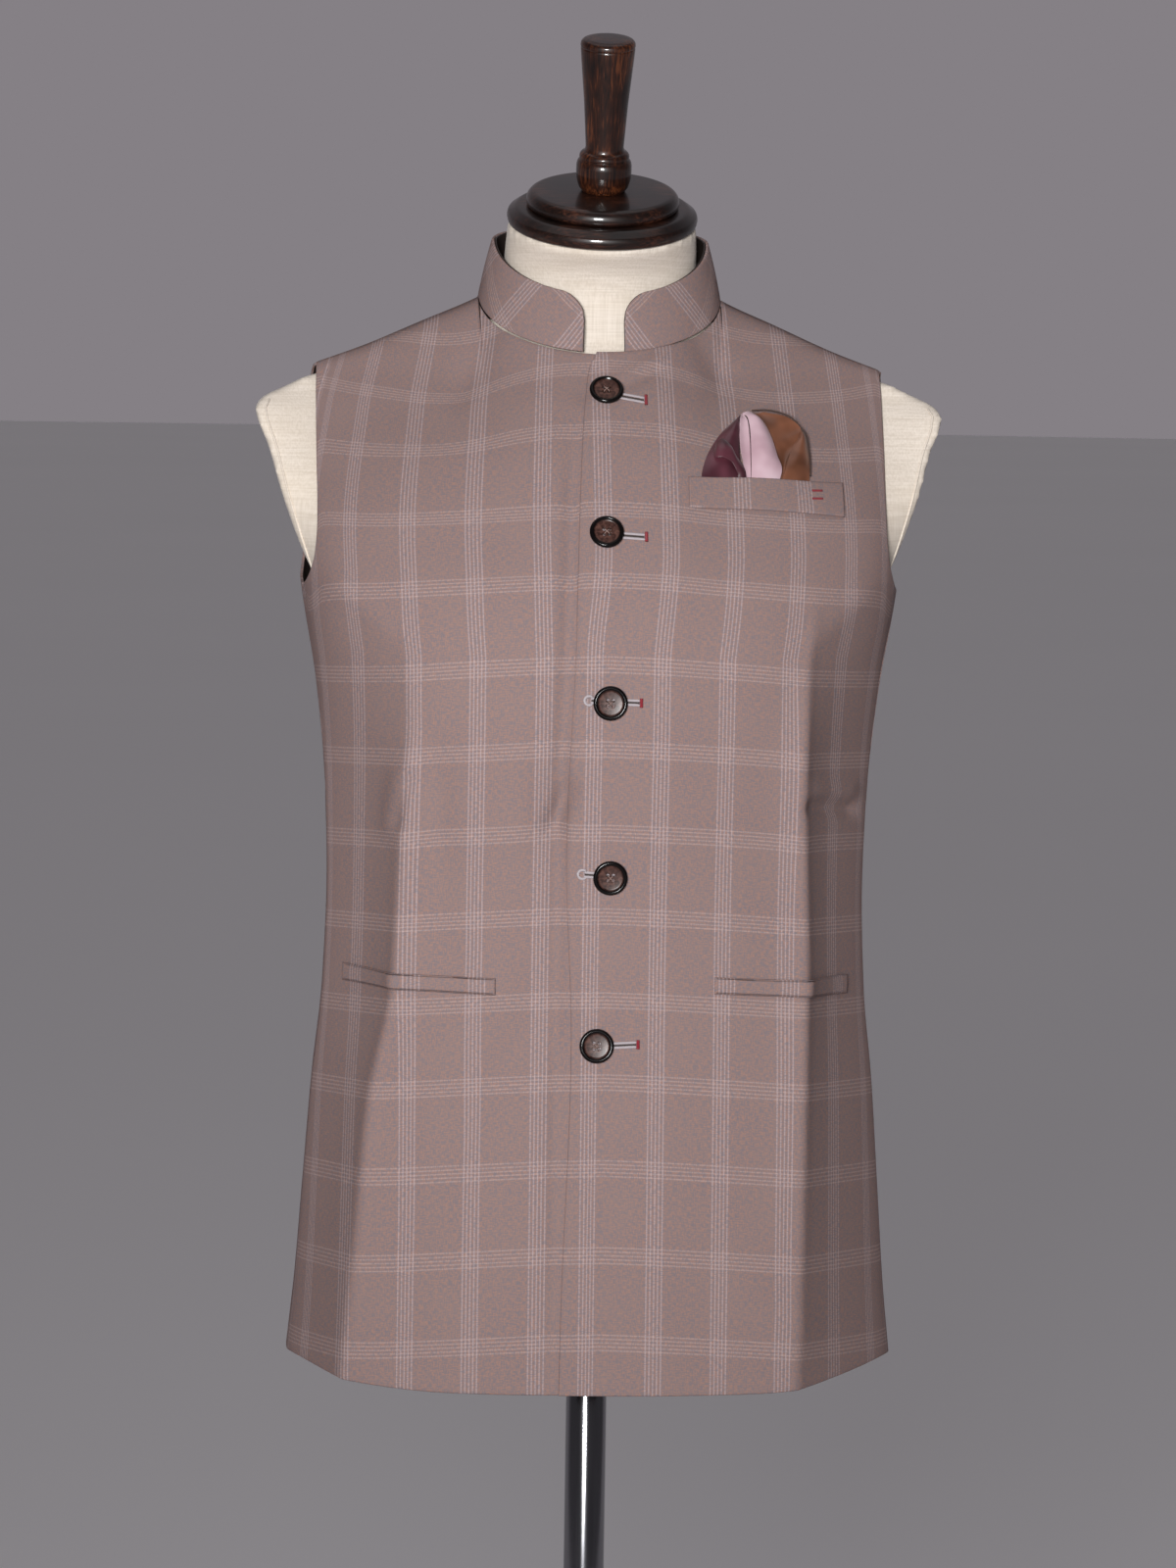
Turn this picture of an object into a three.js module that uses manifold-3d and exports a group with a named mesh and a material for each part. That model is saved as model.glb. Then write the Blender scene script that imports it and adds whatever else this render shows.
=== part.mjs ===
// Band-collar suit waistcoat, buttoned, on a limbless tailor's form with a pole stand.
// Millimetres, +Z up. The origin is the centre of the base plate's underside. The fronts face -Y,
// and the wearer's left is +X.
import * as THREE from "three";
import { mergeVertices } from "three/addons/utils/BufferGeometryUtils.js";
import Module from "manifold-3d";

// Driving sizes of the waistcoat.
const CLOTH = 1.8; // wall of cloth with its fusing and lining
const HEM_FRONT = 805; // height of the hem at the centre front
const HEM_SIDE_RISE = 8; // the hem is this much higher at the side seams
const UNDERARM = 1321; // height of the armhole's lowest point
const NECK_FRONT = 1475; // height of the collar seam at the centre front
const NECK_SIDE = 1511; // height of the collar seam on the shoulder
const NECK_BACK_RISE = 11; // the seam at the nape is this much above the shoulder's
const NECK_HALF = 81; // half width of the neckline
const NECK_CENTRE_Y = 46; // the neckline's middle, behind the pole's axis
const NECK_FRONT_REACH = 64;
const NECK_BACK_REACH = 56;
const NECK_EASE = 5; // how soon the panels leave the collar seam's own curve
const SHOULDER_TIP_X = 188;
const SHOULDER_TIP_Z = 1466;
const SHOULDER_ROUND = 12; // below the shoulder line the walls turn level over this height
const COLLAR_HEIGHT = 38;
const COLLAR_HALF_GAP = 14; // each collar end stops this far from the centre front
const COLLAR_CORNER = 17; // radius of the collar ends' rounded corners
const COLLAR_LEAN_SIDE = 9; // the collar's top stands in by this much at the sides
const COLLAR_LEAN_END = 4; // and by this much at the centre front and the nape
const SEAM = 0.4; // gap between pieces at a seam
const OVERLAP_LIFT = 2.7; // the left front lies this far above the right one at the buttons
const UNDERLAP = 20; // the right front runs on this far past the centre front
const VENT_HEIGHT = 70; // open length of each side seam above the hem
const VENT_GAP = 2.5; // how far a vent's two edges part at the hem

// Sections of the worn garment: half width, the side's place fore and aft, and the section's exponents.
const SECTIONS = [
  { z: 780, half: 204, side: 0, front: 2.7, back: 2.5 },
  { z: 805, half: 201.8, side: 0, front: 2.7, back: 2.5 },
  { z: 862, half: 196, side: 0, front: 2.7, back: 2.5 },
  { z: 928, half: 191.2, side: 0, front: 2.7, back: 2.5 },
  { z: 994, half: 186.3, side: 0, front: 2.7, back: 2.5 },
  { z: 1059, half: 179.9, side: 0, front: 2.6, back: 2.5 },
  { z: 1125, half: 177.7, side: 0, front: 2.5, back: 2.5 },
  { z: 1190, half: 179.7, side: 0, front: 2.5, back: 2.5 },
  { z: 1255, half: 186, side: 1, front: 2.5, back: 2.6 },
  { z: 1320, half: 196.8, side: 4, front: 2.5, back: 2.7 },
  { z: 1360, half: 201.5, side: 12, front: 2.5, back: 2.8 },
  { z: 1400, half: 203.5, side: 25, front: 2.5, back: 3 },
  { z: 1440, half: 204, side: 40, front: 2.5, back: 3 },
  { z: 1466, half: 204, side: 46, front: 2.5, back: 3 },
  { z: 1560, half: 204, side: 46, front: 2.5, back: 3 },
];

// How far the cloth stands before and behind the side line, by the drop below the neck.
const NECK_TOP = 1540;
const SLOPE_START = 1277; // from here up the drop begins to follow the shoulder's slope
const SLOPE_FULL = 1400; // and from here up it follows it fully
const DEPTHS = [
  { drop: 0, front: 0, back: 0 },
  { drop: 3, front: 10, back: 19 },
  { drop: 8, front: 17, back: 34 },
  { drop: 16, front: 25, back: 48 },
  { drop: 30, front: 37, back: 59 },
  { drop: 50, front: 52, back: 66 },
  { drop: 70, front: 67, back: 70 },
  { drop: 95, front: 83, back: 78 },
  { drop: 125, front: 95, back: 91 },
  { drop: 165, front: 105, back: 105 },
  { drop: 210, front: 116, back: 114.5 },
  { drop: 263, front: 125, back: 117 },
  { drop: 300, front: 125.5, back: 115 },
  { drop: 350, front: 122, back: 110 },
  { drop: 415, front: 117.5, back: 105 },
  { drop: 480, front: 119.5, back: 108 },
  { drop: 546, front: 125, back: 116 },
  { drop: 611, front: 131, back: 124 },
  { drop: 677, front: 136, back: 130 },
  { drop: 760, front: 141, back: 135 },
];

// The line of the shoulder seen from the front, drawn on to the middle of the neck: the back's part of
// it climbs higher there.
const SHOULDER = [
  { x: 0, front: 1541, back: 1548 },
  { x: 30, front: 1537, back: 1542 },
  { x: 57, front: 1526, back: 1529.5 },
  { x: 70, front: 1518, back: 1522.5 },
  { x: 78, front: 1513, back: 1516.3 },
  { x: NECK_HALF, front: NECK_SIDE, back: NECK_SIDE },
  { x: 117, front: 1495, back: 1495 },
  { x: 157, front: 1477.5, back: 1477.5 },
  { x: SHOULDER_TIP_X, front: SHOULDER_TIP_Z, back: SHOULDER_TIP_Z },
  { x: 225, front: 1452, back: 1452 },
];

// The armhole's edge: how far round from the centre front each side of it lies, in degrees.
const ARMHOLE = [
  { z: UNDERARM, front: 84, back: 84 },
  { z: 1324, front: 79, back: 91 },
  { z: 1330, front: 74, back: 98 },
  { z: 1342, front: 69, back: 104 },
  { z: 1362, front: 66, back: 108 },
  { z: 1390, front: 65, back: 110.5 },
  { z: 1420, front: 65, back: 111.5 },
  { z: 1446, front: 65, back: 112.5 },
  { z: SHOULDER_TIP_Z, front: 64.8, back: 116 },
];

// Where the side seam runs, in degrees round from the centre front.
const SIDE_SEAM = [
  { z: 780, turn: 90 },
  { z: 1125, turn: 89 },
  { z: UNDERARM, turn: 84 },
];

// The upper front's edge, to the wearer's right of the centre.
const PLACKET = [
  { z: 780, x: -27 },
  { z: 861, x: -26 },
  { z: 1029, x: -21 },
  { z: 1158, x: -26 },
  { z: 1285, x: -22 },
  { z: 1395, x: -17.5 },
  { z: 1462, x: -11 },
  { z: NECK_FRONT, x: -5 },
];

// Largest folds of the cloth: the line of each, how wide it is, and its height out of the cloth.
const FRONT_FOLDS = [
  [
    { z: 1235, x: -126, width: 14, height: 0 },
    { z: 1180, x: -128, width: 15, height: 3.5 },
    { z: 1070, x: -131, width: 15, height: 4.5 },
    { z: 990, x: -146, width: 16, height: 3.5 },
    { z: 900, x: -154, width: 18, height: 3.5 },
    { z: 800, x: -163, width: 20, height: 3 },
  ],
  [
    { z: 1250, x: -112, width: 16, height: 0 },
    { z: 1185, x: -111, width: 13, height: -3.5 },
    { z: 1120, x: -108, width: 14, height: -1.5 },
    { z: 1060, x: -108, width: 16, height: 0 },
  ],
  [
    { z: 1250, x: -32, width: 18, height: 0 },
    { z: 1180, x: -36, width: 20, height: -4.5 },
    { z: 1120, x: -40, width: 24, height: -2 },
    { z: 1050, x: -47, width: 24, height: -3 },
    { z: 980, x: -86, width: 22, height: -2.5 },
    { z: 880, x: -125, width: 20, height: 0 },
  ],
  [
    { z: 1285, x: 134, width: 14, height: 0 },
    { z: 1200, x: 126, width: 14, height: 3.5 },
    { z: 1070, x: 130, width: 15, height: 4 },
    { z: 900, x: 130, width: 18, height: 2 },
    { z: 800, x: 128, width: 20, height: 0 },
  ],
];
const BACK_FOLDS = [
  [
    { z: 1260, x: 84, width: 18, height: 0 },
    { z: 1130, x: 92, width: 18, height: 3.5 },
    { z: 960, x: 104, width: 22, height: 2.5 },
    { z: 800, x: 112, width: 24, height: 2 },
  ],
  [
    { z: 1280, x: -78, width: 18, height: 0 },
    { z: 1150, x: -88, width: 18, height: 3 },
    { z: 980, x: -98, width: 22, height: 3 },
    { z: 800, x: -112, width: 24, height: 1.5 },
  ],
  [
    { z: 1230, x: 20, width: 26, height: 0 },
    { z: 1120, x: 12, width: 26, height: -3 },
    { z: 1000, x: -6, width: 30, height: 0 },
  ],
];

// Pockets: corners on the cloth, from the end nearer the centre.
const WELT_THICK = 2;
const WELT_CLEARANCE = 0.6;
const BREAST_WELT = { x0: 52, top0: 1395.5, foot0: 1376, x1: 156, top1: 1392, foot1: 1370.5 };
const HIP_WELT_LEFT = { x0: 71.5, top0: 1075, foot0: 1064, x1: 163.5, top1: 1073.5, foot1: 1061 };
const HIP_WELT_RIGHT = { x0: -70, top0: 1073, foot0: 1062, x1: -165.5, top1: 1076, foot1: 1064.5 };
const SQUARE = { x0: 60, x1: 131, foot: 1396.2, top: 1436, bulge: 8 };

// Buttons: places on the centre front and the turned shape.
const BUTTONS = [
  { x: 0.3, z: 1448.3 },
  { x: -1.7, z: 1359 },
  { x: 0.7, z: 1252.5 },
  { x: 2.8, z: 1139.7 },
  { x: -4.6, z: 1030.4 },
];
const BUTTON_RADIUS = 11.3;
const BUTTON_THICK = 3.8;
const BUTTON_DISH = 1.3;
const BUTTON_RIM = 3;
const BUTTON_STAND_OFF = 0.9;
const BUTTON_HOLE = 0.95;
const BUTTON_HOLE_RING = 2.5;

// The tailor's form and its stand.
const FORM_BOTTOM = 856;
const FORM_CLEARANCE = 6;
const FORM_SHOULDER_DROP = 4.5;
const FORM_ARM_HOLLOW = 4; // the form hollows by this much more behind each arm plate

// The form's neck: the middle, forward lean in degrees and half sizes of each ring.
const FORM_NECK = [
  { y: 42, z: 1440, lean: 0, halfX: 60, halfY: 48 },
  { y: 45, z: 1470, lean: 0, halfX: 61.5, halfY: 49 },
  { y: 46, z: 1495, lean: 4, halfX: 63.5, halfY: 50 },
  { y: 45.5, z: 1515, lean: 8, halfX: 64, halfY: 50 },
  { y: 42, z: 1535, lean: 13, halfX: 64, halfY: 52 },
  { y: 29.2, z: 1559.1, lean: 17.5, halfX: 62.5, halfY: 60 },
];
const FORM_NECK_SIDES = 36;
const CAP_CENTRE = new THREE.Vector3(0, 27, 1566);
const CAP_TILT = 17.5;
const CAP_LOWER_RADIUS = 63.4;
const CAP_LOWER_THICK = 13;
const CAP_UPPER_RADIUS = 50.8;
const CAP_UPPER_THICK = 10;
const BULB_RADIUS = 18.4;
const BULB_HEIGHT = 27.5;
const HANDLE_FOOT_RADIUS = 12.4;
const HANDLE_TOP_RADIUS = 18.5;
const HANDLE_HEIGHT = 76;
const POLE_RADIUS = 13.5;
const FLANGE_RADIUS = 45;
const FLANGE_THICK = 6;
const BASE_RADIUS = 175;
const BASE_THICK = 10;
const HUB_RADIUS = 27;
const HUB_HEIGHT = 30;

// The arm plates close the form's shoulders: half width at each height, and the plate's two edges.
const ARM_PLATE = [
  { z: 1318, x: 184, front: -2, back: 8 },
  { z: 1345, x: 196, front: -10, back: 28 },
  { z: 1380, x: 209, front: -8, back: 42 },
  { z: 1410, x: 218, front: 4, back: 52 },
  { z: 1436, x: 224, front: 18, back: 56 },
  { z: 1447, x: 221, front: 30, back: 56 },
];

// Grid sizes of the cloth.
const FRONT_COLUMNS = 20;
const NECKLINE_COLUMNS = 8;
const BACK_COLUMNS = 13;
const BACK_NECKLINE_COLUMNS = 6;
const LOWER_ROWS = 14;
const UPPER_ROWS = 10;
const ARM_STEPS = [0.02, 0.06, 0.14, 0.26, 0.4, 0.56, 0.72, 0.85, 0.94, 1]; // rows at the armhole's edge

const RAD = Math.PI / 180;
const clamp = (v, low, high) => Math.min(high, Math.max(low, v));
const mix = (a, b, t) => a + (b - a) * t;
const ease = (low, high, v) => {
  const t = clamp((v - low) / (high - low), 0, 1);
  return t * t * (3 - 2 * t);
};

// A smooth value between the rows of a table, with no overshoot.
function between(table, key, name, at) {
  const n = table.length;
  const slope = (i) => (table[i + 1][name] - table[i][name]) / (table[i + 1][key] - table[i][key]);
  const tangent = (i) => {
    if (i === 0) return slope(0);
    if (i === n - 1) return slope(n - 2);
    const a = slope(i - 1);
    const b = slope(i);
    return a * b <= 0 ? 0 : (2 * a * b) / (a + b);
  };
  const rising = table[n - 1][key] > table[0][key];
  const low = rising ? table[0][key] : table[n - 1][key];
  const high = rising ? table[n - 1][key] : table[0][key];
  const v = clamp(at, low, high);
  let i = 0;
  while (i < n - 2 && (rising ? v > table[i + 1][key] : v < table[i + 1][key])) i += 1;
  const span = table[i + 1][key] - table[i][key];
  const t = (v - table[i][key]) / span;
  const t2 = t * t;
  const t3 = t2 * t;
  return (
    (2 * t3 - 3 * t2 + 1) * table[i][name] +
    (t3 - 2 * t2 + t) * span * tangent(i) +
    (3 * t2 - 2 * t3) * table[i + 1][name] +
    (t3 - t2) * span * tangent(i + 1)
  );
}

const shoulderHeight = (x, face = "front") => between(SHOULDER, "x", face, Math.abs(x));

// Height left above a point before the shoulder's line: it follows the slope of the shoulder high up.
function dropAt(x, z, face) {
  const sloped = ease(SLOPE_START, SLOPE_FULL, z);
  return Math.max(0, mix(NECK_TOP, shoulderHeight(x, face), sloped) - z);
}

// A point of the garment's outside, from the turn round the body (0 is the centre front) and the height.
function body(turn, z) {
  const s = Math.sin(turn * RAD);
  const c = Math.cos(turn * RAD);
  const face = c >= 0 ? "front" : "back";
  const power = 2 / between(SECTIONS, "z", face, z);
  const x = between(SECTIONS, "z", "half", z) * Math.sign(s) * Math.abs(s) ** power;
  const depth = between(DEPTHS, "drop", face, dropAt(x, z, face));
  const y = between(SECTIONS, "z", "side", z) - Math.sign(c) * depth * Math.abs(c) ** power;
  return new THREE.Vector3(x, y, z);
}

// The turn at which a section has the half width x.
function turnAt(x, z, back = false) {
  const power = between(SECTIONS, "z", back ? "back" : "front", z) / 2;
  const ratio = Math.min(1, Math.abs(x) / between(SECTIONS, "z", "half", z));
  const turn = Math.asin(ratio ** power) / RAD;
  return (back ? 180 - turn : turn) * (x < 0 ? -1 : 1);
}

// The outward direction there. On the shoulder's line it leans neither forward nor back.
function outward(turn, z) {
  const face = Math.abs(turn) <= 90 ? "front" : "back";
  const low = body(turn, z - 1);
  const high = body(turn, z + (dropAt(low.x, z + 1, face) > 0 ? 1 : 0));
  const round = body(turn + 0.5, z).sub(body(turn - 0.5, z));
  const n = round.cross(high.sub(low));
  if (n.lengthSq() === 0) n.set(0, 0, 1);
  n.normalize();
  const drop = dropAt(low.x, z, face);
  if (z > UNDERARM && drop < SHOULDER_ROUND) {
    n.y *= drop / SHOULDER_ROUND;
    n.z = Math.max(n.z, 0.3);
    n.normalize();
  }
  return n;
}

function foldAt(folds, x, z) {
  let out = 0;
  for (const fold of folds) {
    if (z > fold[0].z) continue;
    const s = (x - between(fold, "z", "x", z)) / between(fold, "z", "width", z);
    out += between(fold, "z", "height", z) * Math.exp(-s * s);
  }
  return out;
}

// How far up from the underarm row k runs: evenly spaced at the centre, in ARM_STEPS at the armhole.
const upperStep = (k, u) => mix((k + 1) / UPPER_ROWS, ARM_STEPS[k], u * u);

const liftAt = (x) => OVERLAP_LIFT * (1 - ease(30, 75, x));

// Turns along a section at one height, spaced evenly along the cloth.
function evenTurns(from, to, z, count) {
  const fine = 160;
  const lengths = [0];
  let last = body(from, z);
  for (let i = 1; i <= fine; i++) {
    const p = body(mix(from, to, i / fine), z);
    lengths.push(lengths[i - 1] + p.distanceTo(last));
    last = p;
  }
  const turns = [];
  let i = 0;
  for (let k = 0; k <= count; k++) {
    const wanted = (lengths[fine] * k) / count;
    while (i < fine - 1 && lengths[i + 1] < wanted) i += 1;
    const t = (wanted - lengths[i]) / (lengths[i + 1] - lengths[i]);
    turns.push(mix(from, to, (i + clamp(t, 0, 1)) / fine));
  }
  return turns;
}

// The neckline's seam, from the turn round the neck (0 front, 180 back, positive to the wearer's left).
function neckline(turn) {
  const a = Math.abs(turn) * RAD;
  const front = a <= Math.PI / 2;
  const x = NECK_HALF * Math.sin(a) * Math.sign(turn || 1);
  const reach = front ? NECK_FRONT_REACH : NECK_BACK_REACH;
  const y = NECK_CENTRE_Y - reach * Math.cos(a);
  const rise = front ? NECK_SIDE - NECK_FRONT : NECK_BACK_RISE;
  const z = NECK_SIDE - rise * Math.cos(a);
  return new THREE.Vector3(x, y, z);
}

// A closed wall from a grid of outer points and directions: columns run to the wearer's left in front.
function wall(points, normals, thick, mirrored = false) {
  const rows = points.length;
  const cols = points[0].length;
  const positions = [];
  const put = (p) => positions.push(p.x, p.y, p.z);
  points.forEach((row) => row.forEach(put));
  points.forEach((row, j) => row.forEach((p, i) => put(p.clone().addScaledVector(normals[j][i], -thick))));
  const inner = rows * cols;
  const at = (j, i) => j * cols + i;
  const faces = [];
  const quad = (a, b, c, d) => {
    if (mirrored) faces.push(a, c, b, a, d, c);
    else faces.push(a, b, c, a, c, d);
  };
  for (let j = 0; j < rows - 1; j++) {
    for (let i = 0; i < cols - 1; i++) {
      quad(at(j, i), at(j, i + 1), at(j + 1, i + 1), at(j + 1, i));
      quad(inner + at(j, i), inner + at(j + 1, i), inner + at(j + 1, i + 1), inner + at(j, i + 1));
    }
  }
  for (let i = 0; i < cols - 1; i++) {
    quad(at(0, i), inner + at(0, i), inner + at(0, i + 1), at(0, i + 1));
    quad(at(rows - 1, i), at(rows - 1, i + 1), inner + at(rows - 1, i + 1), inner + at(rows - 1, i));
  }
  for (let j = 0; j < rows - 1; j++) {
    quad(at(j, 0), at(j + 1, 0), inner + at(j + 1, 0), inner + at(j, 0));
    quad(at(j, cols - 1), inner + at(j, cols - 1), inner + at(j + 1, cols - 1), at(j + 1, cols - 1));
  }
  const geometry = new THREE.BufferGeometry();
  geometry.setAttribute("position", new THREE.Float32BufferAttribute(positions, 3));
  geometry.setIndex(faces);
  return geometry;
}

const hemHeight = (turn) => HEM_FRONT + HEM_SIDE_RISE * ease(20, 80, turn > 90 ? 180 - turn : turn);
const seamTurn = (z) => between(SIDE_SEAM, "z", "turn", z);
const ventPart = (z) => VENT_GAP * (1 - ease(HEM_FRONT, HEM_FRONT + VENT_HEIGHT, z));

// One front, drawn on the wearer's left and mirrored for the right. The columns run from its centre
// edge to the side seam and, above the underarm, to the armhole.
function front(side) {
  const left = side > 0;
  const centreTurn = (z) => turnAt(left ? between(PLACKET, "z", "x", z) : -UNDERLAP, z);
  const points = [];
  const normals = [];
  const place = (turn, z, seam, toNeck = 0) => {
    const p = body(turn, z);
    p.y += toNeck;
    const n = outward(turn, z);
    const x = side * p.x;
    p.addScaledVector(n, foldAt(FRONT_FOLDS, x, z) + (left ? liftAt(p.x) : 0));
    p.y -= seam;
    p.x *= side;
    n.x *= side;
    return [p, n];
  };
  const addRow = (cells) => {
    points.push(cells.map((c) => c[0]));
    normals.push(cells.map((c) => c[1]));
  };
  for (let j = 0; j <= LOWER_ROWS; j++) {
    const level = mix(HEM_FRONT, UNDERARM, j / LOWER_ROWS);
    const turns = evenTurns(centreTurn(level), seamTurn(level), level, FRONT_COLUMNS);
    addRow(
      turns.map((turn, i) => {
        const z = mix(hemHeight(turn), UNDERARM, j / LOWER_ROWS);
        const last = i === FRONT_COLUMNS;
        return place(turn, z, last ? SEAM / 2 + ventPart(z) : 0);
      }),
    );
  }
  const chest = evenTurns(centreTurn(UNDERARM), seamTurn(UNDERARM), UNDERARM, FRONT_COLUMNS);
  const neckStart = left ? between(PLACKET, "z", "x", NECK_FRONT) : -UNDERLAP;
  const startTurn = Math.asin(neckStart / NECK_HALF) / RAD;
  const top = chest.map((_, i) => {
    if (i <= NECKLINE_COLUMNS) {
      const p = neckline(mix(startTurn, 90, i / NECKLINE_COLUMNS));
      return { x: p.x, z: p.z, shift: p.y - body(turnAt(p.x, p.z), p.z).y };
    }
    const t = (i - NECKLINE_COLUMNS) / (FRONT_COLUMNS - NECKLINE_COLUMNS);
    const x = mix(NECK_HALF, SHOULDER_TIP_X, t);
    return { x, z: shoulderHeight(x), shift: 0 };
  });
  const topTurns = top.map((t) => turnAt(t.x, t.z));
  for (let k = 0; k < UPPER_ROWS; k++) {
    addRow(
      top.map((t, i) => {
        const u = i / FRONT_COLUMNS;
        const h = upperStep(k, u);
        const z = mix(UNDERARM, t.z, h);
        const plain = mix(chest[i], topTurns[i], h);
        const centreShift = centreTurn(z) - mix(chest[0], topTurns[0], h);
        const edge = between(ARMHOLE, "z", "front", z);
        const edgeShift = edge - mix(chest[FRONT_COLUMNS], topTurns[FRONT_COLUMNS], h);
        const turn = plain + (1 - u) * centreShift + u * u * edgeShift;
        const atShoulder = h === 1 && i >= NECKLINE_COLUMNS;
        return place(h === 1 ? topTurns[i] : turn, z, atShoulder ? SEAM / 2 : 0, t.shift * h ** NECK_EASE);
      }),
    );
  }
  return wall(points, normals, CLOTH, !left);
}

// The back in one panel, from the wearer's left side seam round to the right one.
function back() {
  const points = [];
  const normals = [];
  const total = 2 * BACK_COLUMNS;
  const place = (turn, z, seam, side, toNeck = 0) => {
    const p = body(turn, z);
    p.y += toNeck;
    const n = outward(turn, z);
    p.addScaledVector(n, foldAt(BACK_FOLDS, side * p.x, z));
    p.y += seam;
    p.x *= side;
    n.x *= side;
    return [p, n];
  };
  const addRow = (cellAt) => {
    const cells = [];
    for (let k = 0; k <= total; k++) {
      const i = Math.abs(k - BACK_COLUMNS);
      cells.push(cellAt(i, k <= BACK_COLUMNS ? 1 : -1));
    }
    points.push(cells.map((c) => c[0]));
    normals.push(cells.map((c) => c[1]));
  };
  for (let j = 0; j <= LOWER_ROWS; j++) {
    const level = mix(HEM_FRONT, UNDERARM, j / LOWER_ROWS);
    const turns = evenTurns(180, seamTurn(level), level, BACK_COLUMNS);
    addRow((i, side) => {
      const z = mix(hemHeight(turns[i]), UNDERARM, j / LOWER_ROWS);
      return place(turns[i], z, i === BACK_COLUMNS ? SEAM / 2 + ventPart(z) : 0, side);
    });
  }
  const chest = evenTurns(180, seamTurn(UNDERARM), UNDERARM, BACK_COLUMNS);
  const top = chest.map((_, i) => {
    if (i <= BACK_NECKLINE_COLUMNS) {
      const p = neckline(mix(180, 90, i / BACK_NECKLINE_COLUMNS));
      return { x: p.x, z: p.z, shift: p.y - body(turnAt(p.x, p.z, true), p.z).y };
    }
    const t = (i - BACK_NECKLINE_COLUMNS) / (BACK_COLUMNS - BACK_NECKLINE_COLUMNS);
    const x = mix(NECK_HALF, SHOULDER_TIP_X, t);
    return { x, z: shoulderHeight(x), shift: 0 };
  });
  const topTurns = top.map((t) => turnAt(t.x, t.z, true));
  for (let k = 0; k < UPPER_ROWS; k++) {
    addRow((i, side) => {
      const u = i / BACK_COLUMNS;
      const h = upperStep(k, u);
      const z = mix(UNDERARM, top[i].z, h);
      const edge = between(ARMHOLE, "z", "back", z);
      const edgeShift = edge - mix(chest[BACK_COLUMNS], topTurns[BACK_COLUMNS], h);
      const turn = h === 1 ? topTurns[i] : mix(chest[i], topTurns[i], h) + u * u * edgeShift;
      const seam = h === 1 && i >= BACK_NECKLINE_COLUMNS ? SEAM / 2 : 0;
      return place(turn, z, seam, side, top[i].shift * h ** NECK_EASE);
    });
  }
  return wall(points, normals, CLOTH);
}

// The band collar stands on the neckline, with its front ends apart and their corners rounded.
function collarWall(thick, inset, columns, rows) {
  const points = [];
  const normals = [];
  const end = Math.asin(COLLAR_HALF_GAP / NECK_HALF) / RAD;
  const turns = [];
  for (let k = 0; k <= columns; k++) {
    const t = k / columns;
    const s = t - Math.sin(2 * Math.PI * t) * 0.09;
    turns.push(end + (360 - 2 * end) * s);
  }
  const lengthFromEnd = turns.map((turn) => {
    const near = turn <= 180 ? turn : 360 - turn;
    return ((near - end) * RAD * (NECK_HALF + NECK_FRONT_REACH)) / 2;
  });
  for (let j = 0; j <= rows; j++) {
    const row = [];
    const dirs = [];
    turns.forEach((turn, k) => {
      const signed = turn <= 180 ? turn : turn - 360;
      const foot = neckline(signed);
      foot.z += SEAM + 0.2;
      const lean = mix(COLLAR_LEAN_END, COLLAR_LEAN_SIDE, Math.abs(Math.sin(signed * RAD)));
      const inwards = new THREE.Vector3(-foot.x, NECK_CENTRE_Y - foot.y, 0).normalize();
      const left = COLLAR_CORNER - Math.min(COLLAR_CORNER, lengthFromEnd[k]);
      const height = COLLAR_HEIGHT - COLLAR_CORNER + Math.sqrt(COLLAR_CORNER ** 2 - left ** 2);
      const up = (height * j) / rows;
      const p = foot.clone().addScaledVector(inwards, (lean * up) / COLLAR_HEIGHT);
      p.z += up;
      const n = inwards.clone().negate();
      n.z = lean / COLLAR_HEIGHT;
      n.normalize();
      row.push(p.addScaledVector(n, -inset));
      dirs.push(n);
    });
    points.push(row);
    normals.push(dirs);
  }
  return wall(points, normals, thick);
}

// A point and direction on the outside of the left or right front, from its place in the front view.
function onFront(x, z, left) {
  const turn = turnAt(Math.abs(x), z);
  const p = body(turn, z);
  const n = outward(turn, z);
  p.addScaledVector(n, foldAt(FRONT_FOLDS, x, z) + (left ? liftAt(x) : 0));
  const side = Math.sign(x) || 1;
  p.x *= side;
  n.x *= side;
  return [p, n];
}

// A pocket welt: a strip of cloth laid on the front between its four corners.
function welt(corners, left, columns) {
  const points = [];
  const normals = [];
  const rows = 2;
  for (let j = 0; j <= rows; j++) {
    const row = [];
    const dirs = [];
    for (let i = 0; i <= columns; i++) {
      const t = i / columns;
      const x = mix(corners.x0, corners.x1, t);
      const foot = mix(corners.foot0, corners.foot1, t);
      const top = mix(corners.top0, corners.top1, t);
      const [p, n] = onFront(x, mix(foot, top, j / rows), left);
      row.push(p.addScaledVector(n, WELT_CLEARANCE + WELT_THICK));
      dirs.push(n);
    }
    points.push(row);
    normals.push(dirs);
  }
  return wall(points, normals, WELT_THICK, corners.x1 < corners.x0);
}

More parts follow.
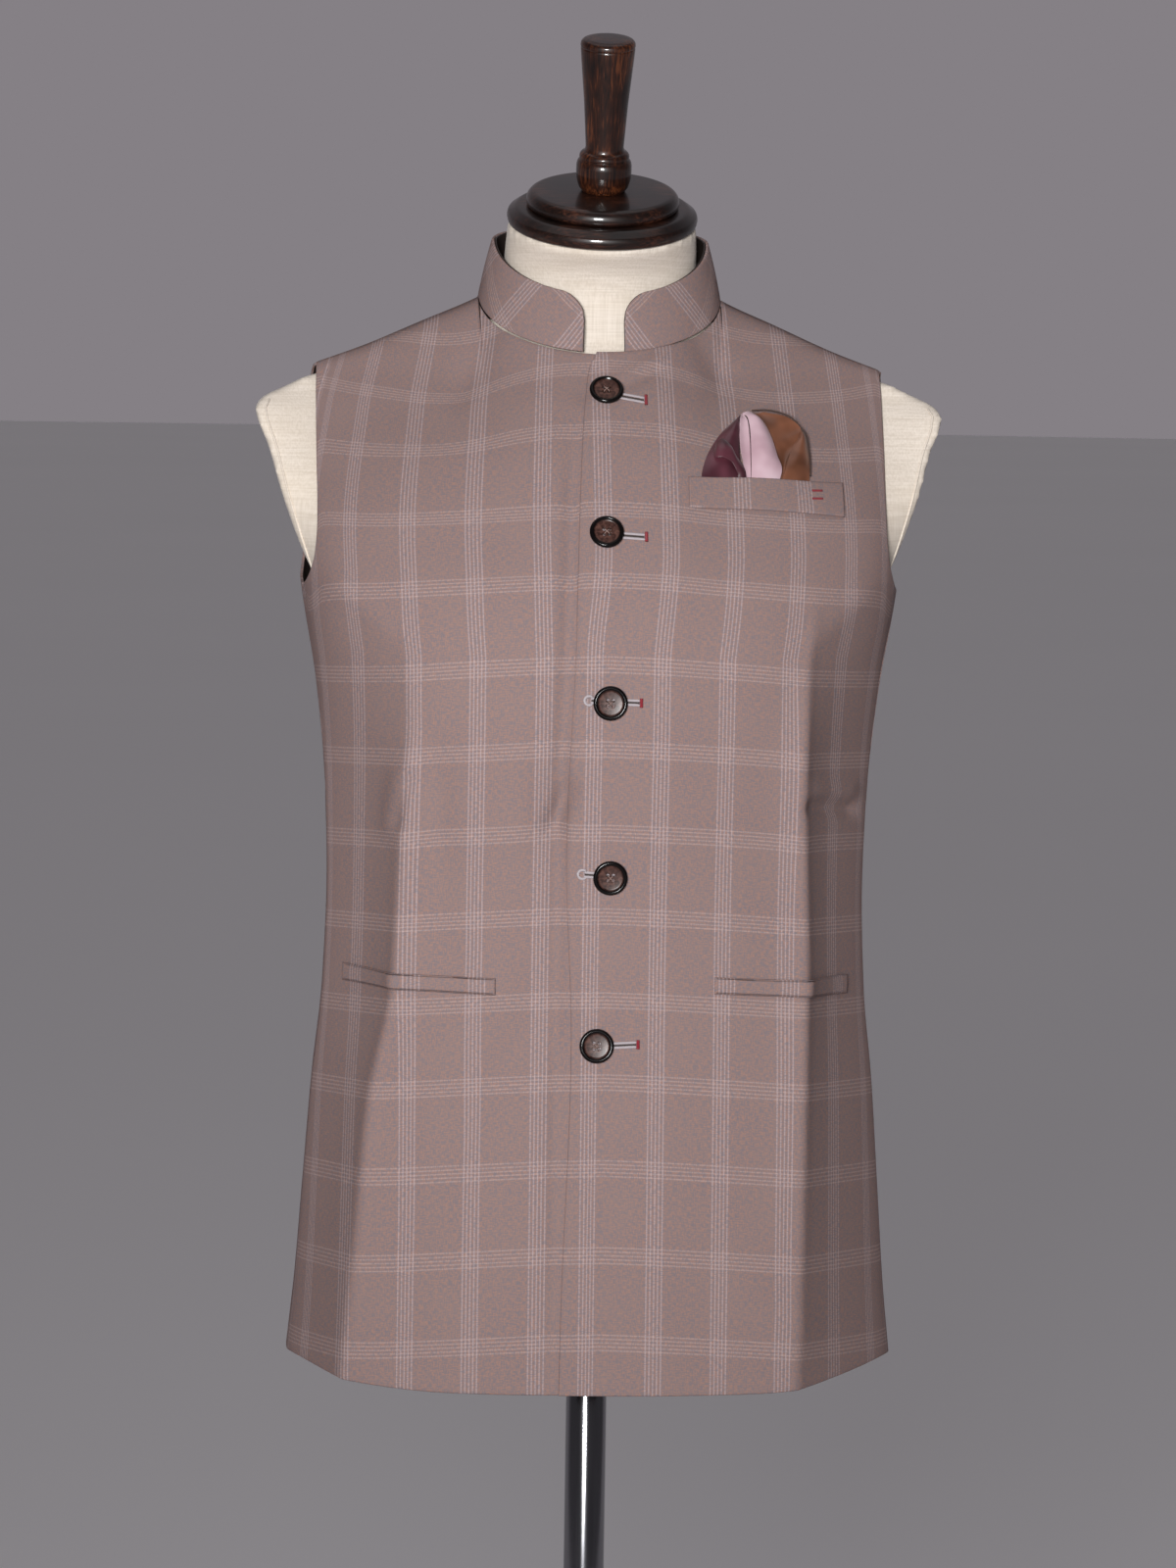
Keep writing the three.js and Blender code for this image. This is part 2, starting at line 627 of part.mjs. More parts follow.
// The folded pocket square: a puff with three lobes that stands out of the breast pocket.
function pocketSquare() {
  const columns = 16;
  const rows = 8;
  const positions = [];
  const faces = [];
  const half = (SQUARE.x1 - SQUARE.x0) / 2;
  const middle = (SQUARE.x0 + SQUARE.x1) / 2;
  const outline = (s) => SQUARE.foot + (SQUARE.top - SQUARE.foot) * Math.sqrt(Math.max(0.02, 1 - s ** 4));
  for (const outer of [true, false]) {
    for (let j = 0; j <= rows; j++) {
      for (let i = 0; i <= columns; i++) {
        const s = mix(-0.985, 0.985, i / columns);
        const z = mix(SQUARE.foot, outline(s), j / rows);
        const [p, n] = onFront(middle + half * s, z, true);
        const up = j / rows;
        const puff = Math.sqrt(Math.max(0, 1 - s ** 2)) * Math.sqrt(1 - up ** 3) * ease(-0.2, 0.5, up);
        const lobes = 0.82 + 0.18 * Math.cos(s * 3 * Math.PI);
        p.addScaledVector(n, WELT_CLEARANCE + (outer ? 1.2 + SQUARE.bulge * puff * lobes : 0));
        positions.push(p.x, p.y, p.z);
      }
    }
  }
  const inner = (rows + 1) * (columns + 1);
  const at = (j, i) => j * (columns + 1) + i;
  const quad = (a, b, c, d) => faces.push(a, b, c, a, c, d);
  for (let j = 0; j < rows; j++) {
    for (let i = 0; i < columns; i++) {
      quad(at(j, i), at(j, i + 1), at(j + 1, i + 1), at(j + 1, i));
      quad(inner + at(j, i), inner + at(j + 1, i), inner + at(j + 1, i + 1), inner + at(j, i + 1));
    }
    quad(at(j, 0), at(j + 1, 0), inner + at(j + 1, 0), inner + at(j, 0));
    quad(at(j, columns), inner + at(j, columns), inner + at(j + 1, columns), at(j + 1, columns));
  }
  for (let i = 0; i < columns; i++) {
    quad(at(0, i), inner + at(0, i), inner + at(0, i + 1), at(0, i + 1));
    quad(at(rows, i), at(rows, i + 1), inner + at(rows, i + 1), inner + at(rows, i));
  }
  const geometry = new THREE.BufferGeometry();
  geometry.setAttribute("position", new THREE.Float32BufferAttribute(positions, 3));
  geometry.setIndex(faces);
  return geometry;
}

// Joins and cuts of closed meshes.
const wasm = await Module();
wasm.setup();

function solid(geometry) {
  const bare = geometry.index ? geometry.toNonIndexed() : geometry.clone();
  bare.deleteAttribute("normal");
  bare.deleteAttribute("uv");
  const merged = mergeVertices(bare, 1e-4);
  return new wasm.Manifold(
    new wasm.Mesh({
      numProp: 3,
      vertProperties: merged.attributes.position.array,
      triVerts: new Uint32Array(merged.index.array),
    }),
  );
}

function geometryOf(manifold) {
  const mesh = manifold.getMesh();
  const geometry = new THREE.BufferGeometry();
  geometry.setAttribute("position", new THREE.BufferAttribute(new Float32Array(mesh.vertProperties), 3));
  geometry.setIndex(new THREE.BufferAttribute(new Uint32Array(mesh.triVerts), 1));
  return geometry;
}

// A body turned about its own +Z axis, from radius and height pairs that start and end on the axis.
function turned(profile, sides) {
  const points = profile.map(([r, h]) => new THREE.Vector2(r, h));
  const geometry = new THREE.LatheGeometry(points, sides);
  geometry.rotateX(Math.PI / 2);
  return geometry;
}

// A button: raised rim, dished middle and four thread holes.
function buttonGeometry() {
  const rimTop = BUTTON_THICK;
  const dish = BUTTON_THICK - BUTTON_DISH;
  const blank = turned(
    [
      [0, 0],
      [BUTTON_RADIUS - 2.4, 0],
      [BUTTON_RADIUS - 0.3, 1.2],
      [BUTTON_RADIUS, 2.2],
      [BUTTON_RADIUS - 0.8, rimTop - 0.3],
      [BUTTON_RADIUS - 1.8, rimTop],
      [BUTTON_RADIUS - BUTTON_RIM, dish + 0.2],
      [0, dish],
    ],
    22,
  );
  let button = solid(blank);
  for (const [sx, sy] of [
    [1, 1],
    [-1, 1],
    [-1, -1],
    [1, -1],
  ]) {
    const drill = new THREE.CylinderGeometry(BUTTON_HOLE, BUTTON_HOLE, 2 * BUTTON_THICK, 6);
    drill.rotateX(Math.PI / 2);
    const reach = BUTTON_HOLE_RING / Math.SQRT2;
    drill.translate(sx * reach, sy * reach, BUTTON_THICK / 2);
    button = button.subtract(solid(drill));
  }
  return geometryOf(button);
}

// The form's torso: rings that follow the garment's inside and reach out to the arm plates.
function torsoRing(z) {
  const inset = (turn, extra = 0) => {
    const p = body(turn, z + FORM_SHOULDER_DROP * ease(1380, 1440, z));
    const n = outward(turn, z);
    n.z = 0;
    p.addScaledVector(n.normalize(), -FORM_CLEARANCE - extra);
    p.z = z;
    return p;
  };
  const ridge = () => {
    let low = 0;
    let high = SHOULDER_TIP_X + 12;
    for (let k = 0; k < 30; k++) {
      const x = (low + high) / 2;
      if (shoulderHeight(x) - FORM_SHOULDER_DROP > z) low = x;
      else high = x;
    }
    return low;
  };
  const armTop = ARM_PLATE[ARM_PLATE.length - 1].z;
  const armed = z >= ARM_PLATE[0].z && z <= armTop;
  const frontTurn = armed ? between(ARMHOLE, "z", "front", z) - 3 : 82;
  const backTurn = armed ? between(ARMHOLE, "z", "back", z) + 4 : 98;
  const half = [];
  const panel = 11;
  const side = between(SECTIONS, "z", "side", z);
  if (z > armTop) {
    const reach = ridge() - 2;
    for (let i = 0; i <= panel; i++) {
      const x = reach * Math.sin((i / panel) * (Math.PI / 2));
      const p = inset(turnAt(x, z));
      half.push(new THREE.Vector3(Math.min(x, reach), Math.min(p.y, side - 1.5), z));
    }
    for (let i = panel; i >= 0; i--) {
      const x = reach * Math.sin((i / panel) * (Math.PI / 2));
      const p = inset(turnAt(x, z, true));
      half.push(new THREE.Vector3(Math.min(x, reach), Math.max(p.y, side + 1.5), z));
    }
    return half;
  }
  for (let i = 0; i < panel; i++) half.push(inset(mix(0, frontTurn, i / (panel - 1))));
  if (armed) {
    const x = between(ARM_PLATE, "z", "x", z);
    half.push(new THREE.Vector3(x, between(ARM_PLATE, "z", "front", z), z));
    half.push(new THREE.Vector3(x, between(ARM_PLATE, "z", "back", z), z));
  } else {
    half.push(inset(87));
    half.push(inset(93));
  }
  for (let i = 0; i < panel; i++) {
    const behindArm = armed ? FORM_ARM_HOLLOW * (1 - ease(0, 3, i)) : 0;
    half.push(inset(mix(backTurn, 180, i / (panel - 1)), behindArm));
  }
  return half;
}

// A closed loft through rings of equal length, each a full loop seen from above.
function loft(rings) {
  const n = rings[0].length;
  const positions = [];
  const faces = [];
  rings.forEach((ring) => ring.forEach((p) => positions.push(p.x, p.y, p.z)));
  for (let j = 0; j < rings.length - 1; j++) {
    for (let i = 0; i < n; i++) {
      const k = (i + 1) % n;
      faces.push(j * n + i, j * n + k, (j + 1) * n + k);
      faces.push(j * n + i, (j + 1) * n + k, (j + 1) * n + i);
    }
  }
  const centre = (ring) => {
    const c = new THREE.Vector3();
    ring.forEach((p) => c.add(p));
    return c.divideScalar(n);
  };
  const foot = centre(rings[0]);
  const head = centre(rings[rings.length - 1]);
  const footIndex = positions.length / 3;
  positions.push(foot.x, foot.y, foot.z, head.x, head.y, head.z);
  const last = (rings.length - 1) * n;
  for (let i = 0; i < n; i++) {
    const k = (i + 1) % n;
    faces.push(footIndex, k, i);
    faces.push(footIndex + 1, last + i, last + k);
  }
  const geometry = new THREE.BufferGeometry();
  geometry.setAttribute("position", new THREE.Float32BufferAttribute(positions, 3));
  geometry.setIndex(faces);
  return geometry;
}

// A full ring from the half on the wearer's left, front to back.
function fullRing(half) {
  const other = half
    .slice(1, -1)
    .reverse()
    .map((p) => new THREE.Vector3(-p.x, p.y, p.z));
  return [...half, ...other];
}

// The form's neck grows out of the shoulders and leans forward under the cap.
function neckGeometry() {
  const rings = FORM_NECK.map(({ y, z, lean, halfX, halfY }) => {
    const ring = [];
    for (let i = 0; i < FORM_NECK_SIDES; i++) {
      const a = (i / FORM_NECK_SIDES) * 2 * Math.PI;
      const reach = -Math.cos(a) * halfY;
      const dy = reach * Math.cos(lean * RAD);
      const dz = reach * Math.sin(lean * RAD);
      ring.push(new THREE.Vector3(Math.sin(a) * halfX, y + dy, z + dz));
    }
    return ring;
  });
  return loft(rings);
}

function formGeometry() {
  const levels = [
    FORM_BOTTOM,
    ...[900, 960, 1020, 1080, 1140, 1200, 1260, 1300, 1317],
    ...[1331, 1350, 1375, 1400, 1420, 1436, 1446],
    ...[1452, 1462, 1474, 1486, 1497],
  ];
  const torso = solid(loft(levels.map((z) => fullRing(torsoRing(z)))));
  return geometryOf(torso.add(solid(neckGeometry())));
}

// Cloth, button, form, wood and metal finishes.
const finish = (color, roughness, metalness = 0) =>
  new THREE.MeshStandardMaterial({ color, roughness, metalness });
const suiting = finish(0x83756f, 0.85);
const lining = finish(0x2a2220, 0.6);
const satin = finish(0xa37c80, 0.4);
const horn = finish(0x2a1c18, 0.15);
const linen = finish(0xd9cdbb, 0.9);
const wood = finish(0x32150c, 0.2);
const chrome = finish(0xb9b9bd, 0.15, 1);
const steel = finish(0x8c8c90, 0.35, 1);

const group = new THREE.Group();
const add = (name, geometry, material, parent = group) => {
  const mesh = new THREE.Mesh(geometry, material);
  mesh.name = name;
  parent.add(mesh);
  return mesh;
};

const garment = new THREE.Group();
group.add(garment);
add("front_left", front(1), suiting, garment);
add("front_right", front(-1), suiting, garment);
add("back", back(), suiting, garment);
add("collar", collarWall(CLOTH, 0, 44, 3), suiting, garment);
add("collar_lining", collarWall(1, CLOTH + SEAM, 44, 2), lining, garment);
add("breast_welt", welt(BREAST_WELT, true, 8), suiting, garment);
add("hip_welt_left", welt(HIP_WELT_LEFT, true, 12), suiting, garment);
add("hip_welt_right", welt(HIP_WELT_RIGHT, false, 12), suiting, garment);
add("pocket_square", pocketSquare(), satin, garment);

const buttonShape = buttonGeometry();
BUTTONS.forEach((place, i) => {
  const [p, n] = onFront(place.x, place.z, true);
  const button = add("button_" + (i + 1), buttonShape.clone(), horn, garment);
  button.position.copy(p.addScaledVector(n, BUTTON_STAND_OFF));
  button.quaternion.setFromUnitVectors(new THREE.Vector3(0, 0, 1), n);
});

const stand = new THREE.Group();
group.add(stand);
add("form_torso", formGeometry(), linen, stand);

const cap = new THREE.Group();
cap.position.copy(CAP_CENTRE);
cap.rotation.x = CAP_TILT * RAD;
stand.add(cap);
const lowerTop = CAP_LOWER_THICK / 2;
const capLower = turned(
  [
    [0, -lowerTop],
    [CAP_LOWER_RADIUS - 4, -lowerTop],
    [CAP_LOWER_RADIUS - 0.8, -lowerTop + 3],
    [CAP_LOWER_RADIUS, -lowerTop + 6],
    [CAP_LOWER_RADIUS - 1.5, lowerTop - 3.4],
    [CAP_LOWER_RADIUS - 5, lowerTop - 1],
    [CAP_UPPER_RADIUS, lowerTop],
    [0, lowerTop],
  ],
  40,
);
add("cap_lower", capLower, wood, cap);
const upperTop = lowerTop + SEAM + CAP_UPPER_THICK;
const capUpper = turned(
  [
    [0, lowerTop + SEAM],
    [CAP_UPPER_RADIUS - 1, lowerTop + SEAM],
    [CAP_UPPER_RADIUS, lowerTop + 3],
    [CAP_UPPER_RADIUS - 0.4, upperTop - 4],
    [CAP_UPPER_RADIUS - 2.6, upperTop - 1],
    [CAP_UPPER_RADIUS - 6, upperTop],
    [0, upperTop],
  ],
  36,
);
add("cap_upper", capUpper, wood, cap);
const bulbFoot = upperTop + SEAM;
const handleFoot = bulbFoot + BULB_HEIGHT;
const handleTop = handleFoot + HANDLE_HEIGHT;
const handle = turned(
  [
    [0, bulbFoot],
    [BULB_RADIUS - 4.6, bulbFoot],
    [BULB_RADIUS - 1.4, bulbFoot + 7],
    [BULB_RADIUS, bulbFoot + 14],
    [BULB_RADIUS - 0.7, bulbFoot + 19.5],
    [BULB_RADIUS - 3, bulbFoot + 23],
    [BULB_RADIUS - 3.2, bulbFoot + 25],
    [HANDLE_FOOT_RADIUS + 1.2, handleFoot],
    [HANDLE_FOOT_RADIUS, handleFoot + 1],
    [HANDLE_TOP_RADIUS, handleTop - 5],
    [HANDLE_TOP_RADIUS - 0.8, handleTop - 2],
    [HANDLE_TOP_RADIUS - 4, handleTop],
    [0, handleTop],
  ],
  28,
);
add("cap_handle", handle, wood, cap);

const flangeFoot = FORM_BOTTOM - SEAM - FLANGE_THICK;
add(
  "pole_flange",
  turned(
    [
      [0, flangeFoot],
      [FLANGE_RADIUS, flangeFoot],
      [FLANGE_RADIUS, flangeFoot + FLANGE_THICK],
      [0, flangeFoot + FLANGE_THICK],
    ],
    32,
  ),
  steel,
  stand,
);
add(
  "pole",
  turned(
    [
      [0, BASE_THICK + SEAM],
      [POLE_RADIUS, BASE_THICK + SEAM],
      [POLE_RADIUS, flangeFoot - SEAM],
      [0, flangeFoot - SEAM],
    ],
    32,
  ),
  chrome,
  stand,
);
add(
  "base_plate",
  turned(
    [
      [0, 0],
      [BASE_RADIUS - 2, 0],
      [BASE_RADIUS, 2],
      [BASE_RADIUS, BASE_THICK - 4],
      [BASE_RADIUS - 4, BASE_THICK],
      [0, BASE_THICK],
    ],
    48,
  ),
  steel,
  stand,
);
const hubHole = POLE_RADIUS + SEAM;
const hubFoot = BASE_THICK + SEAM;
add(
  "base_hub",
  turned(
    [
      [hubHole, hubFoot],
      [HUB_RADIUS, hubFoot],
      [HUB_RADIUS - 1, hubFoot + HUB_HEIGHT * 0.5],
      [HUB_RADIUS - 8, hubFoot + HUB_HEIGHT - 2],
      [HUB_RADIUS - 10, hubFoot + HUB_HEIGHT],
      [hubHole, hubFoot + HUB_HEIGHT],
      [hubHole, hubFoot],
    ],
    32,
  ),
  steel,
  stand,
);

export default group;
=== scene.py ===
import math

import bpy
import numpy as np
from mathutils import Matrix, Vector


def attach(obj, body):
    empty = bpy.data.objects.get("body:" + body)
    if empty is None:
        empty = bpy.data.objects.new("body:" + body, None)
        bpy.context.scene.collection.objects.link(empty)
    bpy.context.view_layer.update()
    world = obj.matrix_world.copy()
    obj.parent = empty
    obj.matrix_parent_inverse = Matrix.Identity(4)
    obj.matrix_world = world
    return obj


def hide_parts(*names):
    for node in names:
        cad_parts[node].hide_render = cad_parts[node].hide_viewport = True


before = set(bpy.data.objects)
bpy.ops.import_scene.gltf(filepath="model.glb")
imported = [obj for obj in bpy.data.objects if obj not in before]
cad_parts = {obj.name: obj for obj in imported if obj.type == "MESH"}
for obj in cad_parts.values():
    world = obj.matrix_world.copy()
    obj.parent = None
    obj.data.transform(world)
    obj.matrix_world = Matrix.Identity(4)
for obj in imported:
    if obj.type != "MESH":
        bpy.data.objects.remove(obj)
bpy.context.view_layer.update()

# Camera
# A long lens at shoulder height, a little to the wearer's right, as in the photograph. The whole stand
# leans by under one degree in that picture.
VIEW_DISTANCE = 4.0
VIEW_TURN = math.radians(-3.5)
VIEW_TARGET = Vector((0, 0, 1.19))
VIEW_RISE = 0.33
VIEW_ROLL = math.radians(0.9)
LENS_MM = 138.9
SENSOR_MM = 36
VIEW_SHIFT = -0.005

camera = bpy.data.objects.new("camera", bpy.data.cameras.new("camera"))
bpy.context.scene.collection.objects.link(camera)
camera.location = VIEW_TARGET + Vector((
    math.sin(VIEW_TURN) * VIEW_DISTANCE, -math.cos(VIEW_TURN) * VIEW_DISTANCE, VIEW_RISE))
look = (VIEW_TARGET - camera.location).to_track_quat("-Z", "Y")
camera.rotation_euler = (look.to_matrix() @ Matrix.Rotation(VIEW_ROLL, 3, "Z")).to_euler()
camera.data.sensor_width = SENSOR_MM
camera.data.lens = LENS_MM
camera.data.shift_x = VIEW_SHIFT
bpy.context.scene.camera = camera

# Cut of the garment
# The worn shape that every panel is cut to: sections round the body at each height, the slope of the
# shoulders, and the armholes. All in millimetres; a turn of 0 degrees is the centre front.
CLOTH = 1.8
SEAM = 0.4
UNDERARM = 1321
HEM_FRONT = 805
NECK_TOP = 1540
SHOULDER_TIP = (188, 1466)
SECTIONS = {
    "z": (780, 805, 862, 928, 994, 1059, 1125, 1190, 1255, 1320, 1360, 1400, 1440, 1466, 1560),
    "half": (204, 201.8, 196, 191.2, 186.3, 179.9, 177.7, 179.7, 186, 196.8, 201.5, 203.5, 204, 204, 204),
    "side": (0, 0, 0, 0, 0, 0, 0, 0, 1, 4, 12, 25, 40, 46, 46),
    "front": (2.7, 2.7, 2.7, 2.7, 2.7, 2.6, 2.5, 2.5, 2.5, 2.5, 2.5, 2.5, 2.5, 2.5, 2.5),
    "back": (2.5, 2.5, 2.5, 2.5, 2.5, 2.5, 2.5, 2.5, 2.6, 2.7, 2.8, 3, 3, 3, 3),
}
DEPTHS = {
    "drop": (0, 3, 8, 16, 30, 50, 70, 95, 125, 165, 210, 263, 300, 350, 415, 480, 546, 611, 677, 760),
    "front": (0, 10, 17, 25, 37, 52, 67, 83, 95, 105, 116, 125, 125.5, 122, 117.5, 119.5, 125, 131, 136, 141),
    "back": (0, 19, 34, 48, 59, 66, 70, 78, 91, 105, 114.5, 117, 115, 110, 105, 108, 116, 124, 130, 135),
}
SHOULDER = {
    "x": (0, 30, 57, 70, 78, 81, 117, 157, 188, 225),
    "front": (1541, 1537, 1526, 1518, 1513, 1511, 1495, 1477.5, 1466, 1452),
    "back": (1548, 1542, 1529.5, 1522.5, 1516.3, 1511, 1495, 1477.5, 1466, 1452),
}
ARMHOLE = {
    "z": (UNDERARM, 1324, 1330, 1342, 1362, 1390, 1420, 1446, 1466),
    "front": (84, 79, 74, 69, 66, 65, 65, 65, 64.8),
    "back": (84, 91, 98, 104, 108, 110.5, 111.5, 112.5, 116),
}
SIDE_SEAM = {"z": (780, 1125, UNDERARM), "turn": (90, 89, 84)}


def between(table, key, name, at):
    """A smooth value between a table's columns, with no overshoot."""
    k = np.array(table[key], float)
    v = np.array(table[name], float)
    slope = np.diff(v) / np.diff(k)
    bend = np.concatenate((slope[:1], np.zeros(len(k) - 2), slope[-1:]))
    a, b = slope[:-1], slope[1:]
    same = a * b > 0
    bend[1:-1][same] = 2 * a[same] * b[same] / (a[same] + b[same])
    at = np.clip(at, k[0], k[-1])
    i = np.clip(np.searchsorted(k, at, side="right") - 1, 0, len(k) - 2)
    span = k[i + 1] - k[i]
    t = (at - k[i]) / span
    return ((2 * t**3 - 3 * t**2 + 1) * v[i] + (t**3 - 2 * t**2 + t) * span * bend[i]
            + (3 * t**2 - 2 * t**3) * v[i + 1] + (t**3 - t**2) * span * bend[i + 1])


def ease(low, high, v):
    t = np.clip((np.asarray(v, float) - low) / (high - low), 0, 1)
    return t * t * (3 - 2 * t)


def drop_at(x, z, face):
    line = between(SHOULDER, "x", face, np.abs(x))
    return np.maximum(0, NECK_TOP + (line - NECK_TOP) * ease(1277, 1400, z) - z)


def body(turn, z):
    """Points of the garment's outside."""
    turn, z = np.broadcast_arrays(np.asarray(turn, float), np.asarray(z, float))
    s, c = np.sin(np.radians(turn)), np.cos(np.radians(turn))
    places = {}
    for face in ("front", "back"):
        power = 2 / between(SECTIONS, "z", face, z)
        x = between(SECTIONS, "z", "half", z) * np.sign(s) * np.abs(s) ** power
        depth = between(DEPTHS, "drop", face, drop_at(x, z, face))
        y = between(SECTIONS, "z", "side", z) - np.sign(c) * depth * np.abs(c) ** power
        places[face] = np.stack((x, y, z), -1)
    return np.where((c >= 0)[..., None], places["front"], places["back"])


def unit(v):
    return v / np.maximum(np.linalg.norm(v, axis=-1, keepdims=True), 1e-9)


def outward(turn, z):
    turn, z = np.broadcast_arrays(np.asarray(turn, float), np.asarray(z, float))
    low = body(turn, z - 1)
    drops = {f: drop_at(low[..., 0], z, f) for f in ("front", "back")}
    drop = np.where(np.abs(turn) <= 90, drops["front"], drops["back"])
    high = body(turn, z + np.where(drop > 1, 1, 0))
    n = unit(np.cross(body(turn + 0.5, z) - body(turn - 0.5, z), high - low))
    near = (z > UNDERARM) & (drop < 12)
    n[..., 1] = np.where(near, n[..., 1] * drop / 12, n[..., 1])
    n[..., 2] = np.where(near, np.maximum(n[..., 2], 0.3), n[..., 2])
    return unit(n)


def turn_at(x, z, face="front"):
    power = between(SECTIONS, "z", face, z) / 2
    ratio = np.minimum(1, np.abs(x) / between(SECTIONS, "z", "half", z))
    turn = np.degrees(np.arcsin(ratio**power))
    return np.where(np.asarray(x) < 0, -1, 1) * (turn if face == "front" else 180 - turn)


# How the cloth's threads lie on that shape. Stripes run straight up from the hem and draw together
# towards the shoulder; bands follow the length of cloth up each front, so they dip beside the neck.
CHEST = 1277.1
STRIPE_PITCH = 43.0
BAND_PITCH = 55.5
BAND_HEIGHTS = (785, 839.7, 896, 951.9, 1007.2, 1059.9, 1114.3, 1169, 1223, CHEST, 1330.1, 1374, 1426, 1465)
BAND_DROOP = {"x": (0, 30, 90, 150, 190), "droop": (0, 1, 5, 11, 15)}
SHOULDER_DIP = 12.0
LEFT_SHOULDER_DIP = 6.0
LEFT_DRAW_SHARE = 0.35  # the left shoulder draws the stripes together less
STRIPE_DRAW = {"z": (CHEST, 1360, 1437, 1490, 1540), "draw": (1, 0.965, 1.02, 1.11, 1.18)}
GRID = 4.0
LOWEST = 780
LEFT_OFFSET = 9  # mm from the centre line to where the left front's count of stripes starts
SHOULDER_OFFSET = 3.5  # and the same at its shoulder, which is cut a little narrower
RIGHT_OFFSET = 41.6
STEEPEST = 1.3  # mm of depth a mm of height; the cloth at the very side is taken no steeper


def flat_tables(face):
    """Arc from the centre line at each height, and arc up from the chest at each distance across."""
    middle = 0 if face == "front" else 180
    turns = middle + (1 if face == "front" else -1) * np.arange(0, 105.0, 1.0)
    heights = np.arange(LOWEST, CHEST + GRID, GRID)
    rounds = body(turns[None, :], heights[:, None])
    steps = np.linalg.norm(np.diff(rounds, axis=1), axis=2)
    across = np.concatenate((np.zeros((len(heights), 1)), np.cumsum(steps, axis=1)), axis=1)
    x, z = np.meshgrid(np.arange(0, 240, GRID), np.arange(CHEST, 1545, GRID))
    y = body(turn_at(x, z, face), z)[..., 1]
    steep = np.clip(np.diff(y, axis=0) / GRID, -STEEPEST, STEEPEST)
    up = np.concatenate((np.zeros((1, x.shape[1])), np.cumsum(np.sqrt(1 + steep**2) * GRID, axis=0)))
    return across, up, np.abs(rounds[-1, :, 0])


FLAT = {face: flat_tables(face) for face in ("front", "back")}


def pick(table, row, column):
    row = np.clip(row, 0, table.shape[0] - 1.001)
    column = np.clip(column, 0, table.shape[1] - 1.001)
    i, j = row.astype(int), column.astype(int)
    f, g = row - i, column - j
    return ((table[i, j] * (1 - g) + table[i, j + 1] * g) * (1 - f)
            + (table[i + 1, j] * (1 - g) + table[i + 1, j + 1] * g) * f)


def thread_map(turn, z, shoulder_dip=SHOULDER_DIP, draw_share=1.0):
    """Where a point of the garment lies on the flat cloth, in millimetres."""
    face = "front" if np.abs(np.asarray(turn).flat[0]) < 90 else "back"
    middle = 0 if face == "front" else 180
    across, up, chest_x = FLAT[face]
    away = np.abs(np.abs(turn) - middle)
    below = pick(across, (z - LOWEST) / GRID, away)
    draw = 1 + (between(STRIPE_DRAW, "z", "draw", z) - 1) * draw_share
    x = np.abs(body(turn, z)[..., 0]) * draw
    widest = int(np.argmax(chest_x))
    above = np.interp(x, chest_x[:widest + 1], across[-1][:widest + 1])
    above = above + np.maximum(0, x - chest_x[widest])
    # Above the chest the side of each panel wraps on at its own width.
    mix = ease(CHEST, CHEST + 60, z)
    s = below * (1 - mix) + above * mix
    arc = pick(up, (z - CHEST) / GRID, np.abs(body(turn, z)[..., 0]) / GRID)
    centre_arc = np.interp(BAND_HEIGHTS[9:], CHEST + GRID * np.arange(up.shape[0]), up[:, 6])
    count = np.interp(arc, centre_arc, np.arange(9, 14))
    count = np.where(arc > centre_arc[-1], 13 + (arc - centre_arc[-1]) / 50, count)
    count = np.where(z < CHEST, np.interp(z, BAND_HEIGHTS, np.arange(14)), count)
    # The bands hang lower towards the sides, and dip once more below the middle of the shoulder.
    droop = between(BAND_DROOP, "x", "droop", x)
    dip = np.exp(-((x - 105) / 38) ** 2) * ease(1380, 1450, z) * shoulder_dip
    return s * np.sign(turn), (count - 9) * BAND_PITCH + np.where(np.abs(turn) < 90, droop + dip, 0)


# Suiting
# Worsted wool suiting in a fine twill: grey-blue warp and rust weft read as one taupe. A windowpane of
# five pale threads a side runs both ways. It is matt, with hardly any gloss.
THREAD = 0.8  # mm; the real yarns are about 0.35 mm, too fine for the picture, so each is drawn coarser
STRIPE_THREADS = 2.5  # mm from one pale thread to the next


def add(tree, kind, links=None, **settings):
    """Adds one node, sets it and links its inputs from values, sockets or nodes."""
    made = tree.nodes.new("ShaderNode" + kind)
    for name, value in settings.items():
        setattr(made, name, value)
    for name, value in (links or {}).items():
        if isinstance(value, bpy.types.Node):
            value = value.outputs[0]
        if isinstance(value, bpy.types.NodeSocket):
            tree.links.new(value, made.inputs[name])
        else:
            made.inputs[name].default_value = value
    return made


def linear(hex_colour):
    """An sRGB hex colour as linear RGBA."""
    values = [int(hex_colour[i:i + 2], 16) / 255 for i in (1, 3, 5)]
    return tuple(v / 12.92 if v <= 0.04045 else ((v + 0.055) / 1.055) ** 2.4 for v in values) + (1,)


def new_material(name):
    material = bpy.data.materials.new(name)
    material.use_nodes = True
    tree = material.node_tree
    tree.nodes.clear()
    return material, tree


